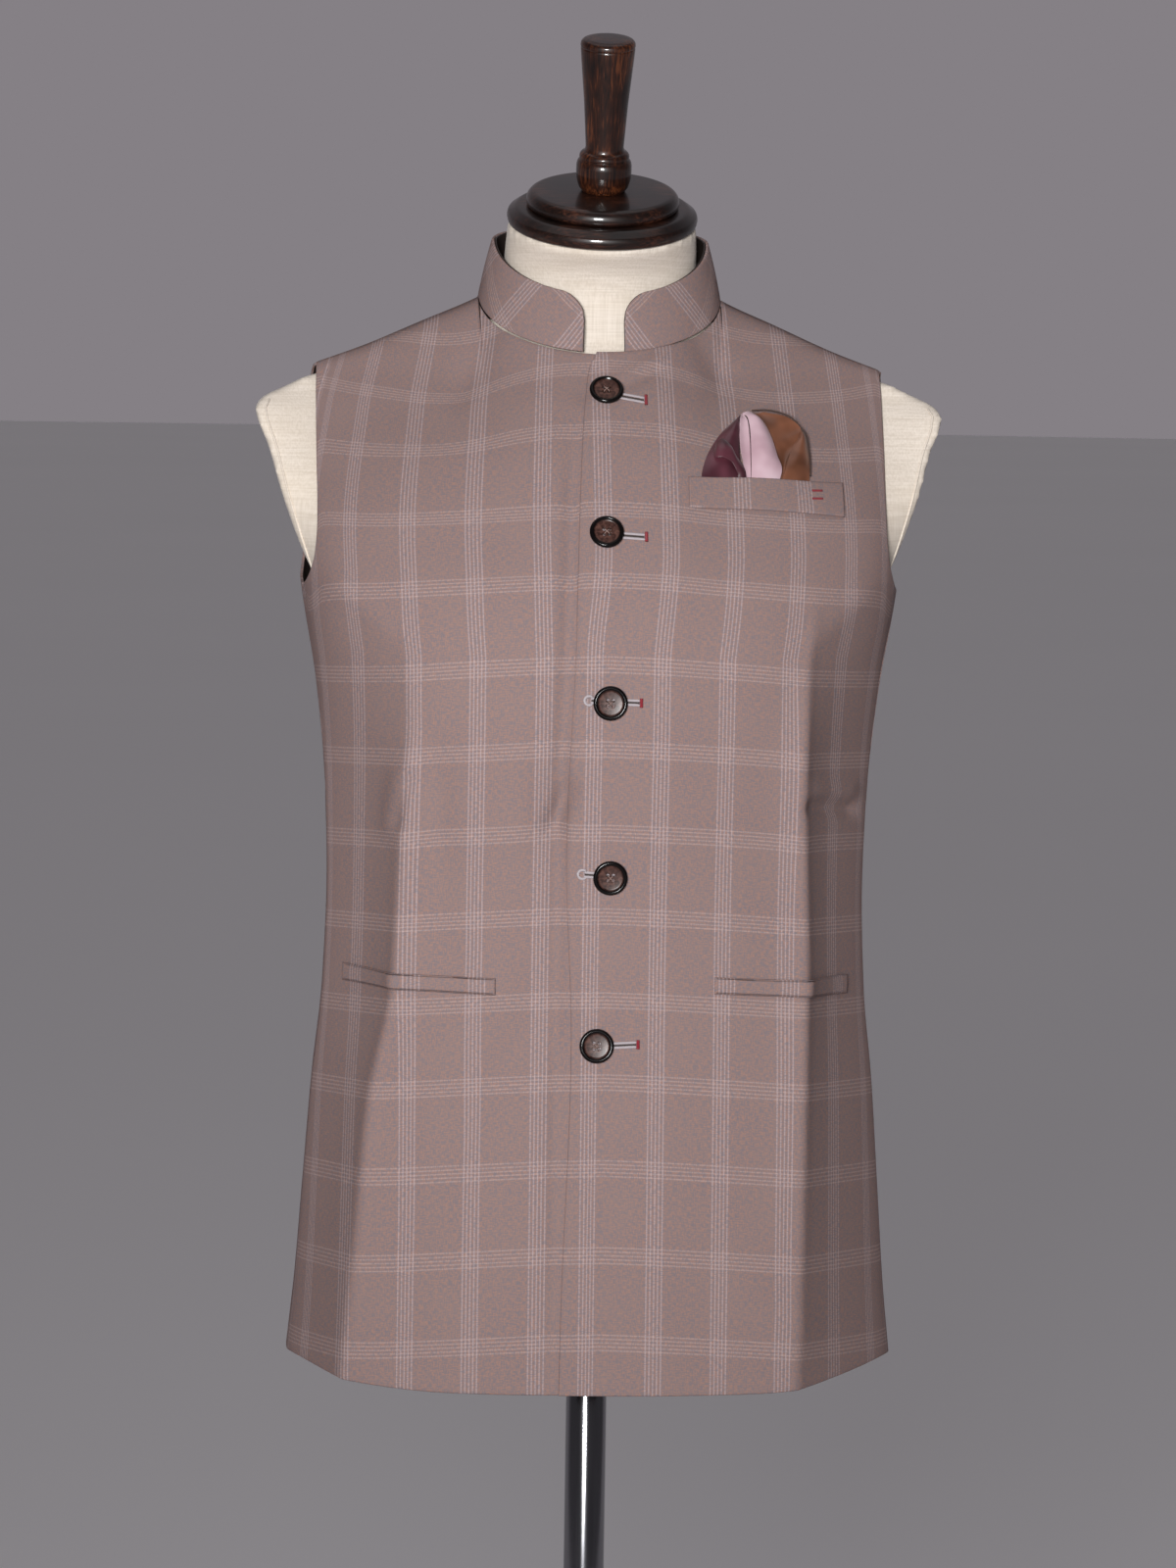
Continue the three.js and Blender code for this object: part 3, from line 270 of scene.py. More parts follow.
def pane_lines(tree, along, pitch, other_noise):
    """Five pale threads about every multiple of the pitch."""
    from_group = add(tree, "Math", {0: along, 1: pitch / 2000, 2: -pitch / 2000}, operation="WRAP")
    to_thread = add(tree, "Math", {0: from_group, 1: STRIPE_THREADS / 2000}, operation="PINGPONG")
    line = add(tree, "MapRange", {"Value": to_thread, "From Min": 0.0007, "From Max": 0.0002},
               interpolation_type="SMOOTHSTEP")
    apart = add(tree, "Math", {0: from_group}, operation="ABSOLUTE")
    inside = add(tree, "Math", {0: apart, 1: STRIPE_THREADS * 2.4 / 1000}, operation="LESS_THAN")
    both = add(tree, "Math", {0: line, 1: inside}, operation="MULTIPLY")
    return add(tree, "Math", {0: both, 1: other_noise}, operation="MULTIPLY")


def suiting_material():
    material, tree = new_material("suiting_worsted_twill")
    cloth = add(tree, "UVMap", uv_map="cloth")
    across_up = add(tree, "SeparateXYZ", {0: cloth})
    across, up = across_up.outputs["X"], across_up.outputs["Y"]
    warp_place = add(tree, "Mapping", {"Vector": cloth, "Scale": (1000 / THREAD, 1000 / 3.2, 1)})
    weft_place = add(tree, "Mapping", {"Vector": cloth, "Scale": (1000 / 3.2, 1000 / THREAD, 1)})
    warp = add(tree, "TexNoise", {"Vector": warp_place, "Scale": 1, "Detail": 1}, noise_dimensions="2D")
    weft = add(tree, "TexNoise", {"Vector": weft_place, "Scale": 1, "Detail": 1}, noise_dimensions="2D")
    fleck = add(tree, "TexNoise", {"Vector": cloth, "Scale": 900, "Detail": 2}, noise_dimensions="2D")
    cloudy = add(tree, "TexNoise", {"Vector": cloth, "Scale": 28, "Detail": 3}, noise_dimensions="2D")
    # Twill: each weft thread steps over by one warp thread.
    lean = add(tree, "Math", {0: across, 1: up}, operation="ADD")
    twill = add(tree, "Math", {0: lean, 1: THREAD * 0.5 / 1000}, operation="PINGPONG")
    twill = add(tree, "Math", {0: twill, 1: 1000 / (THREAD * 0.5)}, operation="MULTIPLY")
    shade = add(tree, "Mix", {0: 0.55, 2: warp, 3: weft})
    ramp = add(tree, "ValToRGB", {"Fac": shade})
    ramp.color_ramp.elements[0].position = 0.4
    ramp.color_ramp.elements[0].color = linear("#6a6a76")
    ramp.color_ramp.elements[1].position = 0.6
    ramp.color_ramp.elements[1].color = linear("#a37a6b")
    flecked = add(tree, "MixRGB", {"Fac": fleck, "Color1": linear("#7d6c69"), "Color2": ramp})
    cloud = add(tree, "Math", {0: cloudy, 1: 0.5}, operation="MULTIPLY")
    clouded = add(tree, "MixRGB", {"Fac": cloud, "Color1": flecked, "Color2": linear("#8a7570")})
    warp_break = add(tree, "MapRange", {"Value": weft, "From Min": 0.3, "From Max": 0.6, "To Min": 0.45})
    weft_break = add(tree, "MapRange", {"Value": warp, "From Min": 0.3, "From Max": 0.6, "To Min": 0.4})
    stripes = pane_lines(tree, across, STRIPE_PITCH, warp_break)
    bands = pane_lines(tree, up, BAND_PITCH, weft_break)
    stripe_tint = add(tree, "Math", {0: stripes, 1: 0.35}, operation="MULTIPLY")
    band_tint = add(tree, "Math", {0: bands, 1: 0.28}, operation="MULTIPLY")
    striped = add(tree, "MixRGB", {"Fac": stripe_tint, "Color1": clouded, "Color2": linear("#c4b6bb")})
    paned = add(tree, "MixRGB", {"Fac": band_tint, "Color1": striped, "Color2": linear("#c6b0ac")})
    relief = add(tree, "Math", {0: twill, 1: shade.outputs[0]}, operation="ADD")
    bump = add(tree, "Bump", {"Strength": 0.35, "Distance": 0.00015, "Height": relief})
    shader = add(tree, "BsdfPrincipled", {
        "Base Color": paned, "Roughness": 0.8, "IOR": 1.5, "Specular IOR Level": 0.15, "Normal": bump})
    add(tree, "OutputMaterial", {"Surface": shader})
    return material


def lining_and_shade_material():
    # Viscose lining: a plain close weave, dark and slightly glossy. Its near-black tone is partly the
    # lining's colour and partly painted shade, for the shade that falls inside the garment at the armholes
    # and behind the collar.
    material, tree = new_material("lining_viscose_and_painted_shade")
    cloth = add(tree, "UVMap", uv_map="cloth")
    threads = add(tree, "TexWave", {"Vector": cloth, "Scale": 320, "Distortion": 1.2})
    colour = add(tree, "MixRGB", {"Fac": threads, "Color1": linear("#231c1a"), "Color2": linear("#332a27")})
    bump = add(tree, "Bump", {"Strength": 0.15, "Distance": 0.0001, "Height": threads})
    shader = add(tree, "BsdfPrincipled", {
        "Base Color": colour, "Roughness": 0.42, "IOR": 1.5, "Normal": bump})
    add(tree, "OutputMaterial", {"Surface": shader})
    return material


suiting = suiting_material()
lining_and_shade = lining_and_shade_material()

# Fronts
# Two fronts of fused suiting with a turned edge. The wearer's left one laps over the right one and
# carries the buttonholes; each is shaped by a long dart that shows as a soft crease down the side.
PLACKET = {
    "z": (780, 861, 1029, 1158, 1285, 1395, 1462, 1475),
    "x": (-27, -26, -21, -26, -22, -17.5, -11, -5),
}
UNDERLAP = 20
LAP_LIFT = 2.7  # the cloth below and the room it needs
NECK_CENTRE_Y = 46
NECK_HALF, NECK_FRONT, NECK_BACK = 81, 64, 56
NECK_SIDE_Z = 1511
VENT_HEIGHT = 70
VENT_GAP = 2.5
FRONT_FOLDS = (
    {"z": (800, 900, 990, 1070, 1180, 1235), "x": (-163, -154, -146, -131, -128, -126),
     "width": (20, 18, 16, 15, 15, 14), "height": (4, 4.5, 5, 5.5, 4.5, 0)},
    {"z": (1060, 1120, 1185, 1250), "x": (-108, -108, -111, -112),
     "width": (16, 14, 13, 16), "height": (0, -1.5, -3.5, 0)},
    {"z": (880, 980, 1050, 1120, 1180, 1250), "x": (-125, -86, -47, -40, -36, -32),
     "width": (20, 19, 18, 18, 15, 16), "height": (0, -3, -3.6, -2.6, -4.6, 0)},
    {"z": (800, 900, 1070, 1200, 1285), "x": (128, 130, 130, 126, 134),
     "width": (20, 18, 15, 14, 14), "height": (1.5, 3, 5, 4.8, 0)},
)
# The long creases have a narrow crest where the pressed cloth turns to the side, and fall in behind it.
FRONT_CRESTS = (
    {"z": (810, 900, 1158, 1285, 1395, 1440), "x": (-32, -30, -31, -27, -23, -19),
     "width": (7, 6, 5.5, 5.5, 5.5, 6), "height": (-1, -2.4, -3.4, -3.8, -3, 0)},
    {"z": (800, 900, 990, 1070, 1180, 1225), "x": (-163, -154, -146, -131, -128, -126),
     "width": (6, 5, 5, 4.5, 5, 5), "height": (1.2, 1.8, 2.5, 2.5, 2, 0)},
    {"z": (800, 900, 1070, 1200, 1320), "x": (128, 130, 130, 126, 134),
     "width": (6, 5, 4.5, 4.5, 5), "height": (0.4, 1.4, 2.5, 2.5, 0)},
)
# Beyond each crest the side of the front falls back almost flat to the silhouette.
SIDE_PLANES = (
    {"side": -1, "z": (780, 900, 990, 1070, 1180, 1250, 1322), "x": (166, 155, 146, 132, 127, 128, 134),
     "flat": (0.7, 0.85, 0.9, 0.9, 0.9, 0.6, 0)},
    {"side": 1, "z": (780, 900, 1070, 1200, 1270, 1330), "x": (130, 130, 130, 127, 130, 140),
     "flat": (0.75, 0.85, 0.9, 0.9, 0.7, 0)},
)
SIDE_TURN = 87.0
# Short creases, each from one end to the other, with its width and its height out of the cloth.
FRONT_CREASES = {
    "x0": (-126, -134, -25, 134, 140, 12, 14, -8, 60, -75, 168, -172, 100, -60),
    "z0": (1199, 1202, 1193, 1184, 1195, 1459, 1454, 1462, 1493, 1488, 1318, 1322, 870, 1110),
    "x1": (-131, -138, -35, 166, 164, 34, 35, -14, 78, -92, 140, -146, 128, -95),
    "z1": (1172, 1170, 1172, 1178, 1191, 1470, 1464, 1450, 1462, 1452, 1296, 1300, 848, 1085),
    "width": (4, 5, 6.5, 5, 6, 3.6, 3.6, 6, 10, 10, 9, 9, 14, 12),
    "height": (-2.6, 1.4, -4.6, -4.2, 2.4, 1.6, -1.4, -1.8, -2.2, -2.4, 1.4, 1.6, 1.0, -1.0),
}


def fold_height(folds, x, z):
    out = np.zeros_like(x)
    for fold in folds:
        s = (x - between(fold, "z", "x", z)) / between(fold, "z", "width", z)
        out += np.where(z > fold["z"][-1], 0, between(fold, "z", "height", z)) * np.exp(-s * s)
    return out


def crease_height(creases, x, z):
    out = np.zeros_like(x)
    for x0, z0, x1, z1, width, height in zip(*creases.values()):
        dx, dz = x1 - x0, z1 - z0
        long = math.hypot(dx, dz)
        t = ((x - x0) * dx + (z - z0) * dz) / long**2
        beyond = np.maximum(0, np.maximum(-t, t - 1)) * long
        off = ((x - x0) * dz - (z - z0) * dx) / long
        out += height * np.exp(-(off**2 + 0.6 * beyond**2) / width**2)
    return out


def front_relief(x, z):
    return (fold_height(FRONT_FOLDS, x, z) + fold_height(FRONT_CRESTS, x, z)
            + crease_height(FRONT_CREASES, x, z))


def side_fall(x, z):
    """How far the side of a front lies back from the body's curve."""
    out = np.zeros_like(x)
    for plane in SIDE_PLANES:
        z_in = np.clip(z, plane["z"][0], plane["z"][-1])
        start = between(plane, "z", "x", z_in)
        crest = body(turn_at(start, z), z)
        edge = body(SIDE_TURN, z)
        t = np.clip((np.abs(x) - crest[..., 0]) / (edge[..., 0] - crest[..., 0]), 0, 1)
        flat_y = crest[..., 1] + (edge[..., 1] - crest[..., 1]) * t
        own_y = body(turn_at(np.minimum(np.abs(x), edge[..., 0]), z), z)[..., 1]
        fall = np.maximum(0, flat_y - own_y) * between(plane, "z", "flat", z_in)
        out += np.where((np.sign(x) == plane["side"]) & (t > 0) & (t < 1), fall, 0)
    return out


def lap_lift(x):
    """The left front lies on the right one as far as the underlap, and settles beyond it."""
    return LAP_LIFT * (1 - ease(30, 75, x))


def neckline(turn):
    a = np.abs(np.radians(turn))
    front = a <= math.pi / 2
    y = NECK_CENTRE_Y - np.where(front, NECK_FRONT, NECK_BACK) * np.cos(a)
    z = NECK_SIDE_Z - np.where(front, 36, 11) * np.cos(a)
    return np.stack((NECK_HALF * np.sin(a) * np.where(np.asarray(turn) < 0, -1, 1), y, z), -1)


def even_turns(start, end, z, count):
    turns = np.linspace(start, end, 161)
    lengths = np.concatenate(([0], np.cumsum(np.linalg.norm(np.diff(body(turns, z), axis=0), axis=1))))
    return np.interp(np.linspace(0, lengths[-1], count + 1), lengths, turns)


ARM_STEPS = {
    "row": np.linspace(0, 1, 11),
    "step": (0, 0.02, 0.06, 0.14, 0.26, 0.4, 0.56, 0.72, 0.85, 0.94, 1),
}


def hem_height(turn):
    side = np.where(turn > 90, 180 - turn, turn)
    return HEM_FRONT + 8 * ease(20, 80, side)


def vent_part(z):
    return VENT_GAP * (1 - ease(HEM_FRONT, HEM_FRONT + VENT_HEIGHT, z))


def panel_grid(face, first_turn, neck_turns, columns, lower, upper):
    """Turn, height, and shift to the neckline for each grid point of a half panel, centre to side."""
    turns, heights, shifts = [], [], []
    for j in range(lower + 1):
        level = HEM_FRONT + (UNDERARM - HEM_FRONT) * j / lower
        row = even_turns(first_turn(level), between(SIDE_SEAM, "z", "turn", level), level, columns)
        turns.append(row)
        heights.append(hem_height(row) + (UNDERARM - hem_height(row)) * j / lower)
        shifts.append(np.zeros(columns + 1))
    chest = turns[-1]
    neck = neckline(neck_turns)
    out = np.linspace(NECK_HALF, SHOULDER_TIP[0], columns + 2 - len(neck_turns))[1:]
    top_x = np.concatenate((neck[:, 0], out))
    top_z = np.concatenate((neck[:, 2], between(SHOULDER, "x", "front", out)))
    top_turn = turn_at(top_x, top_z, face)
    top_shift = np.zeros(columns + 1)
    top_shift[:len(neck)] = neck[:, 1] - body(top_turn[:len(neck)], neck[:, 2])[:, 1]
    u = np.linspace(0, 1, columns + 1)
    for k in range(1, upper + 1):
        fine = between(ARM_STEPS, "row", "step", k / upper)
        h = k / upper + (fine - k / upper) * u * u
        z = UNDERARM + (top_z - UNDERARM) * h
        plain = chest + (top_turn - chest) * h
        centre = first_turn(z) - (chest[0] + (top_turn[0] - chest[0]) * h)
        edge = between(ARMHOLE, "z", face, z) - (chest[-1] + (top_turn[-1] - chest[-1]) * h)
        row = plain + (1 - u) * centre + u * u * edge
        turns.append(top_turn if k == upper else row)
        heights.append(z)
        shifts.append(top_shift * h**5)
    return np.array(turns), np.array(heights), np.array(shifts)


def new_piece(name, points, faces, materials=(), uv_name=None, uv=None):
    """A smooth mesh in metres, with a place on its flat plan for each point."""
    mesh = bpy.data.meshes.new(name)
    mesh.from_pydata(np.asarray(points).tolist(), [], faces)
    for material in materials:
        mesh.materials.append(material)
    mesh.polygons.foreach_set("use_smooth", np.ones(len(faces), bool))
    if uv_name:
        layer = mesh.uv_layers.new(name=uv_name)
        layer.data.foreach_set("uv", uv[np.concatenate(faces)].astype(np.float32).reshape(-1))
    made = bpy.data.objects.new(name, mesh)
    bpy.context.scene.collection.objects.link(made)
    if materials:
        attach(made, "root")
    return made


def cloth_object(name, outer, normals, uv, thick, materials, flip=False):
    """A wall of cloth with a rounded turned edge, from its outer points; its flat size is kept as UVs."""
    rows, cols = outer.shape[:2]
    rim = thick / 2
    ring = ([(0, i) for i in range(cols)] + [(j, cols - 1) for j in range(1, rows)]
            + [(rows - 1, i) for i in range(cols - 2, -1, -1)] + [(j, 0) for j in range(rows - 2, 0, -1)])
    away = np.zeros((len(ring), 3))
    for k, (j, i) in enumerate(ring):
        if j in (0, rows - 1):
            away[k] += unit(outer[j, i] - outer[1 if j == 0 else rows - 2, i])
        if i in (0, cols - 1):
            away[k] += unit(outer[j, i] - outer[j, 1 if i == 0 else cols - 2])
    jj, ii = np.array(ring).T
    edge_normals = normals[jj, ii]
    away = unit(away - edge_normals * np.sum(away * edge_normals, axis=1, keepdims=True))
    outer = outer.copy()
    outer[jj, ii] -= away * rim
    inner = outer - normals * thick
    loops = [outer[jj, ii] - edge_normals * rim * (1 - math.cos(a)) + away * rim * math.sin(a)
             for a in np.radians((40, 90, 140))]
    count = rows * cols
    points = np.concatenate([outer.reshape(-1, 3), inner.reshape(-1, 3)] + loops) * 0.001
    flat = np.concatenate([uv.reshape(-1, 2)] * 2 + [uv[jj, ii]] * 3) * 0.001
    at = np.arange(count).reshape(rows, cols)
    quads = np.stack((at[:-1, :-1], at[:-1, 1:], at[1:, 1:], at[1:, :-1]), -1).reshape(-1, 4)
    inside = quads[:, ::-1] + count
    bands = [at[jj, ii]] + [2 * count + k * len(ring) + np.arange(len(ring)) for k in range(3)]
    bands.append(at[jj, ii] + count)
    edges = []
    for a, b in zip(bands[:-1], bands[1:]):
        edges.append(np.stack((np.roll(a, -1), a, b, np.roll(b, -1)), -1))
    edges = np.concatenate(edges)
    faces = np.concatenate((quads, edges, inside))
    if flip:
        faces = faces[:, ::-1]
    made = new_piece(name, points, faces.tolist(), materials, "cloth", flat)
    if len(materials) > 1:
        # The inside faces take the second material: on the garment, the dark lining, which is partly painted
        # shade.
        slots = np.zeros(len(faces), np.int32)
        slots[len(quads) + len(edges):] = 1
        made.data.polygons.foreach_set("material_index", slots)
    return made


def left_offset(z):
    """Where the left front's count of stripes starts at each height."""
    return LEFT_OFFSET + (SHOULDER_OFFSET - LEFT_OFFSET) * ease(CHEST, 1350, z)


def front_points(turn, z, side, lapped):
    p, n = body(turn, z), outward(turn, z)
    x = side * p[..., 0]
    lift = front_relief(x, z) + (lap_lift(p[..., 0]) if lapped else 0)
    p[..., 1] += side_fall(x, z)
    return p + n * lift[..., None], n


def front_surface(turn, z, side, lapped):
    """Points and directions of a front on one side, folds included, before it is mirrored."""
    p, plain = front_points(turn, z, side, lapped)
    across = front_points(turn + 0.3, z, side, lapped)[0] - front_points(turn - 0.3, z, side, lapped)[0]
    up = front_points(turn, z + 0.8, side, lapped)[0] - front_points(turn, z - 0.8, side, lapped)[0]
    folded = unit(np.cross(across, up))
    upper = ease(UNDERARM - 30, UNDERARM, z)[..., None]
    return p, unit(folded * (1 - upper) + plain * upper)


def make_front(side):
    left = side > 0
    columns, neck_columns, lower, upper = 84, 34, 150, 56
    if left:
        def first(z):
            return turn_at(between(PLACKET, "z", "x", z), z)
        start = math.degrees(math.asin(PLACKET["x"][-1] / NECK_HALF))
    else:
        def first(z):
            return turn_at(-UNDERLAP + 0 * np.asarray(z, float), z)
        start = math.degrees(math.asin(-UNDERLAP / NECK_HALF))
    neck_turns = np.linspace(start, 90, neck_columns + 1)
    turn, z, shift = panel_grid("front", first, neck_turns, columns, lower, upper)
    s, t = thread_map(turn, z, *((LEFT_SHOULDER_DIP, LEFT_DRAW_SHARE) if left else ()))
    p, n = front_surface(turn, z, side, left)
    p[..., 1] += shift
    seam = np.zeros_like(z)
    seam[:lower + 1, -1] = SEAM / 2 + vent_part(z[:lower + 1, -1])
    seam[-1, neck_columns:] = SEAM / 2
    p[..., 1] -= seam
    p[..., 0] *= side
    n[..., 0] *= side
    uv = np.stack((s + left_offset(z) if left else RIGHT_OFFSET - s, t), -1)
    return cloth_object("front_left_cloth" if left else "front_right_cloth", p, n, uv, CLOTH,
                        (suiting, lining_and_shade), flip=not left)


front_left = make_front(1)
front_right = make_front(-1)
for front, node in ((front_left, "front_left"), (front_right, "front_right")):
    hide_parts(node)

# Back
# One panel of the same suiting from side seam to side seam, sewn to the fronts at the sides and the
# shoulders. A short vent is left open at each side of the hem.
BACK_FOLDS = (
    {"z": (800, 960, 1130, 1260), "x": (112, 104, 92, 84), "width": (24, 22, 18, 18),
     "height": (2, 2.5, 3.5, 0)},
    {"z": (800, 980, 1150, 1280), "x": (-112, -98, -88, -78), "width": (24, 22, 18, 18),
     "height": (1.5, 3, 3, 0)},
    {"z": (1000, 1120, 1230), "x": (-6, 12, 20), "width": (30, 26, 26), "height": (0, -3, 0)},
)
BACK_CREASES = {
    "x0": (60, -55, 150, -146, 20, -30, 95, -100),
    "z0": (1205, 1190, 1200, 1205, 1476, 1470, 1330, 1342),
    "x1": (100, -96, 172, -170, 48, -62, 140, -150),
    "z1": (1186, 1178, 1188, 1189, 1450, 1446, 1312, 1318),
    "width": (7, 8, 6, 6, 12, 13, 11, 12),
    "height": (-1.4, -1.1, -1.3, -1.5, -1.0, -1.2, 1.1, 1.2),
}


def make_back():
    columns, neck_columns, lower, upper = 64, 28, 150, 56
    turn, z, shift = panel_grid("back", lambda level: 180 + 0 * np.asarray(level, float),
                                np.linspace(180, 90, neck_columns + 1), columns, lower, upper)
    half_p, half_n = body(turn, z), outward(turn, z)
    half_p[..., 1] += shift
    s, t = thread_map(turn, z)
    seam = np.zeros_like(z)
    seam[:lower + 1, -1] = SEAM / 2 + vent_part(z[:lower + 1, -1])
    seam[-1, neck_columns:] = SEAM / 2
    sides = []
    for side in (1, -1):
        p, n = half_p.copy(), half_n.copy()
        x = side * p[..., 0]
        p += n * (fold_height(BACK_FOLDS, x, z) + crease_height(BACK_CREASES, x, z))[..., None]
        p[..., 1] += seam
        p[..., 0] *= side
        n[..., 0] *= side
        sides.append((p, n, np.stack((-side * s, t), -1)))
    whole = [np.concatenate((a[:, ::-1], b[:, 1:]), axis=1) for a, b in zip(*sides)]
    return cloth_object("back_cloth", *whole, CLOTH, (suiting, lining_and_shade))


back = make_back()
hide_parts("back")

# Collar
# A band collar cut across the check, fused stiff and turned, with its two ends apart and rounded. Its
# inside is faced with dark lining, whose near-black tone is partly painted shade.
COLLAR_HEIGHT = 38
COLLAR_CORNER = 17
COLLAR_GAP = 14  # from the centre line to each end
COLLAR_SLANT = 35


def make_collar(name, thick, inset, columns, rows, materials):
    end = math.degrees(math.asin(COLLAR_GAP / NECK_HALF))
    t = np.linspace(0, 1, columns + 1)
    turns = end + (360 - 2 * end) * (t - np.sin(2 * math.pi * t) * 0.09)
    signed = np.where(turns <= 180, turns, turns - 360)
    foot = neckline(signed)
    foot[:, 2] += SEAM + 0.2
    along = np.concatenate(([0], np.cumsum(np.linalg.norm(np.diff(foot, axis=0), axis=1))))
    from_end = np.radians(np.minimum(turns, 360 - turns) - end) * (NECK_HALF + NECK_FRONT) / 2
    lean = 4 + 5 * np.abs(np.sin(np.radians(signed)))
    inwards = unit(np.stack((-foot[:, 0], NECK_CENTRE_Y - foot[:, 1], 0 * lean), -1))
    short = COLLAR_CORNER - np.minimum(COLLAR_CORNER, from_end)
    height = COLLAR_HEIGHT - COLLAR_CORNER + np.sqrt(COLLAR_CORNER**2 - short**2)
    normal = -inwards
    normal[:, 2] = lean / COLLAR_HEIGHT
    normal = unit(normal)
    points, uvs = [], []
    for j in range(rows + 1):
        up = height * j / rows
        # The band stands a little proud in the middle of its height.
        swell = 0.5 * np.sin(np.pi * up / COLLAR_HEIGHT)
        p = foot + inwards * (lean * up / COLLAR_HEIGHT)[:, None] + normal * (swell - inset)[:, None]
        p[:, 2] += up
        points.append(p)
        uvs.append(np.stack((along, up), -1))
    uv = np.array(uvs)
    # The two halves are cut on opposite slants, as the check shows it.
    middle = along[-1] / 2
    s = uv[..., 0] - middle
    slant = np.radians(COLLAR_SLANT)
    turned = np.stack((np.abs(s) * np.cos(slant) - uv[..., 1] * np.sin(slant) + 6,
                       np.abs(s) * np.sin(slant) + uv[..., 1] * np.cos(slant) + 20), -1)
    normals = np.repeat(normal[None], rows + 1, axis=0)
    return cloth_object(name, np.array(points), normals, turned, thick, materials)


collar = make_collar("collar_cloth", CLOTH, 0, 220, 18, (suiting,))
collar_lining = make_collar("collar_facing", 1.0, CLOTH + SEAM, 180, 10, (lining_and_shade,))
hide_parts("collar")
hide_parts("collar_lining")

# Pocket welts
# Welts of the same suiting, cut to match the check and stitched down at their ends: one on the breast
# and one over each hip pocket. The mouth of each pocket lies behind the welt's top edge.
WELT_CLOTH = 2.0
WELT_LIFT = 0.6
WELT_SHIFT = 2.7  # how far the welt's check lies across from the front's
WELTS = {
    "breast_welt": {
        "x": (52, 156), "top": (1395.5, 1392), "foot": (1376, 1370.5), "sag": 1.6, "mouth": 2.4},
    "hip_welt_left": {
        "x": (71.5, 163.5), "top": (1075, 1069.5), "foot": (1064, 1057), "sag": 0.6, "mouth": 0.8},
    "hip_welt_right": {
        "x": (-70, -165.5), "top": (1073, 1074), "foot": (1062, 1062.5), "sag": 0.6, "mouth": 0.8},
}


def on_front(x, z, left=True):
    """A point and direction on the outside of a front, from its place in the front view."""
    x, z = np.broadcast_arrays(np.asarray(x, float), np.asarray(z, float))
    turn = turn_at(np.abs(x), z)
    side = np.where(x < 0, -1, 1)
    p, n = front_surface(turn, z, side, left)
    p[..., 0] *= side
    n[..., 0] *= side
    return p, n


def front_threads(x, z, left=True):
    s, t = thread_map(turn_at(np.abs(x), z), z)
    s = s * np.sign(x)
    return np.stack((s + left_offset(z) if left else s + RIGHT_OFFSET, t), -1)


def make_welt(name, x, top, foot, sag, mouth, columns=72, rows=12):
    left = name != "hip_welt_right"
    u = np.linspace(0, 1, columns + 1)
    v = np.linspace(0, 1, rows + 1)[:, None]
    across = x[0] + (x[1] - x[0]) * u
    low = foot[0] + (foot[1] - foot[0]) * u + sag * np.sin(np.pi * u)
    high = top[0] + (top[1] - top[0]) * u
    z = low + (high - low) * v
    xs = np.broadcast_to(across, z.shape)
    p, n = on_front(xs, z, left)
    gape = mouth * np.sin(np.pi * np.clip(u / 0.85, 0, 1)) * v**2
    p += n * (WELT_LIFT + WELT_CLOTH + 0.3 * np.sin(np.pi * v) + gape)[..., None]
    uv = front_threads(xs, z, left)
    uv[..., 0] -= WELT_SHIFT
    return cloth_object(name + "_cloth", p, n, uv, WELT_CLOTH, (suiting,), flip=x[1] < x[0])


for node, cut in WELTS.items():
    welt = make_welt(node, **cut)
    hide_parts(node)
    wide, high = abs(cut["x"][1] - cut["x"][0]) / 1000 + 0.006, (cut["top"][0] - cut["foot"][0]) / 1000

# Buttons
# Five four-hole buttons of 36 lines, turned from dark horn-look resin and polished: a black raised rim
# round a brown dished middle. Each is sewn on with a crossed thread.
BUTTONS = ((0.3, 1448.3), (-1.7, 1359), (0.7, 1252.5), (2.8, 1139.7), (-4.6, 1030.4))
HOLE_RING = 2.5
HOLE_RADIUS = 1.15


def ring_faces(rings, sides, closed=False, flip=False):
    """Faces between rings of equal length, with flat ends unless the last ring meets the first."""
    faces = []
    for j in range(rings if closed else rings - 1):
        a, b = j * sides, (j + 1) % rings * sides
        for i in range(sides):
            k = (i + 1) % sides
            faces.append((a + i, b + i, b + k, a + k) if flip else (a + i, a + k, b + k, b + i))
    if not closed:
        first, last = tuple(range(sides)), tuple(range((rings - 1) * sides, rings * sides))
        faces += [first, last[::-1]] if flip else [first[::-1], last]
    return faces


def turned_mesh(name, profile, segments, place, material):
    """A turned body from radius and height pairs, with its face plan as UVs."""
    r, h = np.array(profile, float).T
    a = np.linspace(0, 2 * math.pi, segments, endpoint=False)
    plan = np.stack((np.outer(r, np.cos(a)), np.outer(r, np.sin(a)), np.outer(h, np.ones(segments))), -1)
    plan = plan.reshape(-1, 3)
    points = [tuple(place @ Vector(p) * 0.001) for p in plan]
    return new_piece(name, points, ring_faces(len(r), segments), (material,), "face", plan[:, :2] * 0.001)


def rounded(profile, radius=0.4, steps=4):
    """Rounds each corner of a profile by a short arc."""
    out = [profile[0]]
    for a, b, c in zip(profile[:-2], profile[1:-1], profile[2:]):
        a, b, c = (np.array(v, float) for v in (a, b, c))
        la, lc = np.linalg.norm(a - b), np.linalg.norm(c - b)
        cut = min(radius, la * 0.45, lc * 0.45)
        p, q = b + (a - b) / la * cut, b + (c - b) / lc * cut
        for t in np.linspace(0, 1, steps):
            out.append(tuple((1 - t) ** 2 * p + 2 * t * (1 - t) * b + t * t * q))
    out.append(profile[-1])
    return out


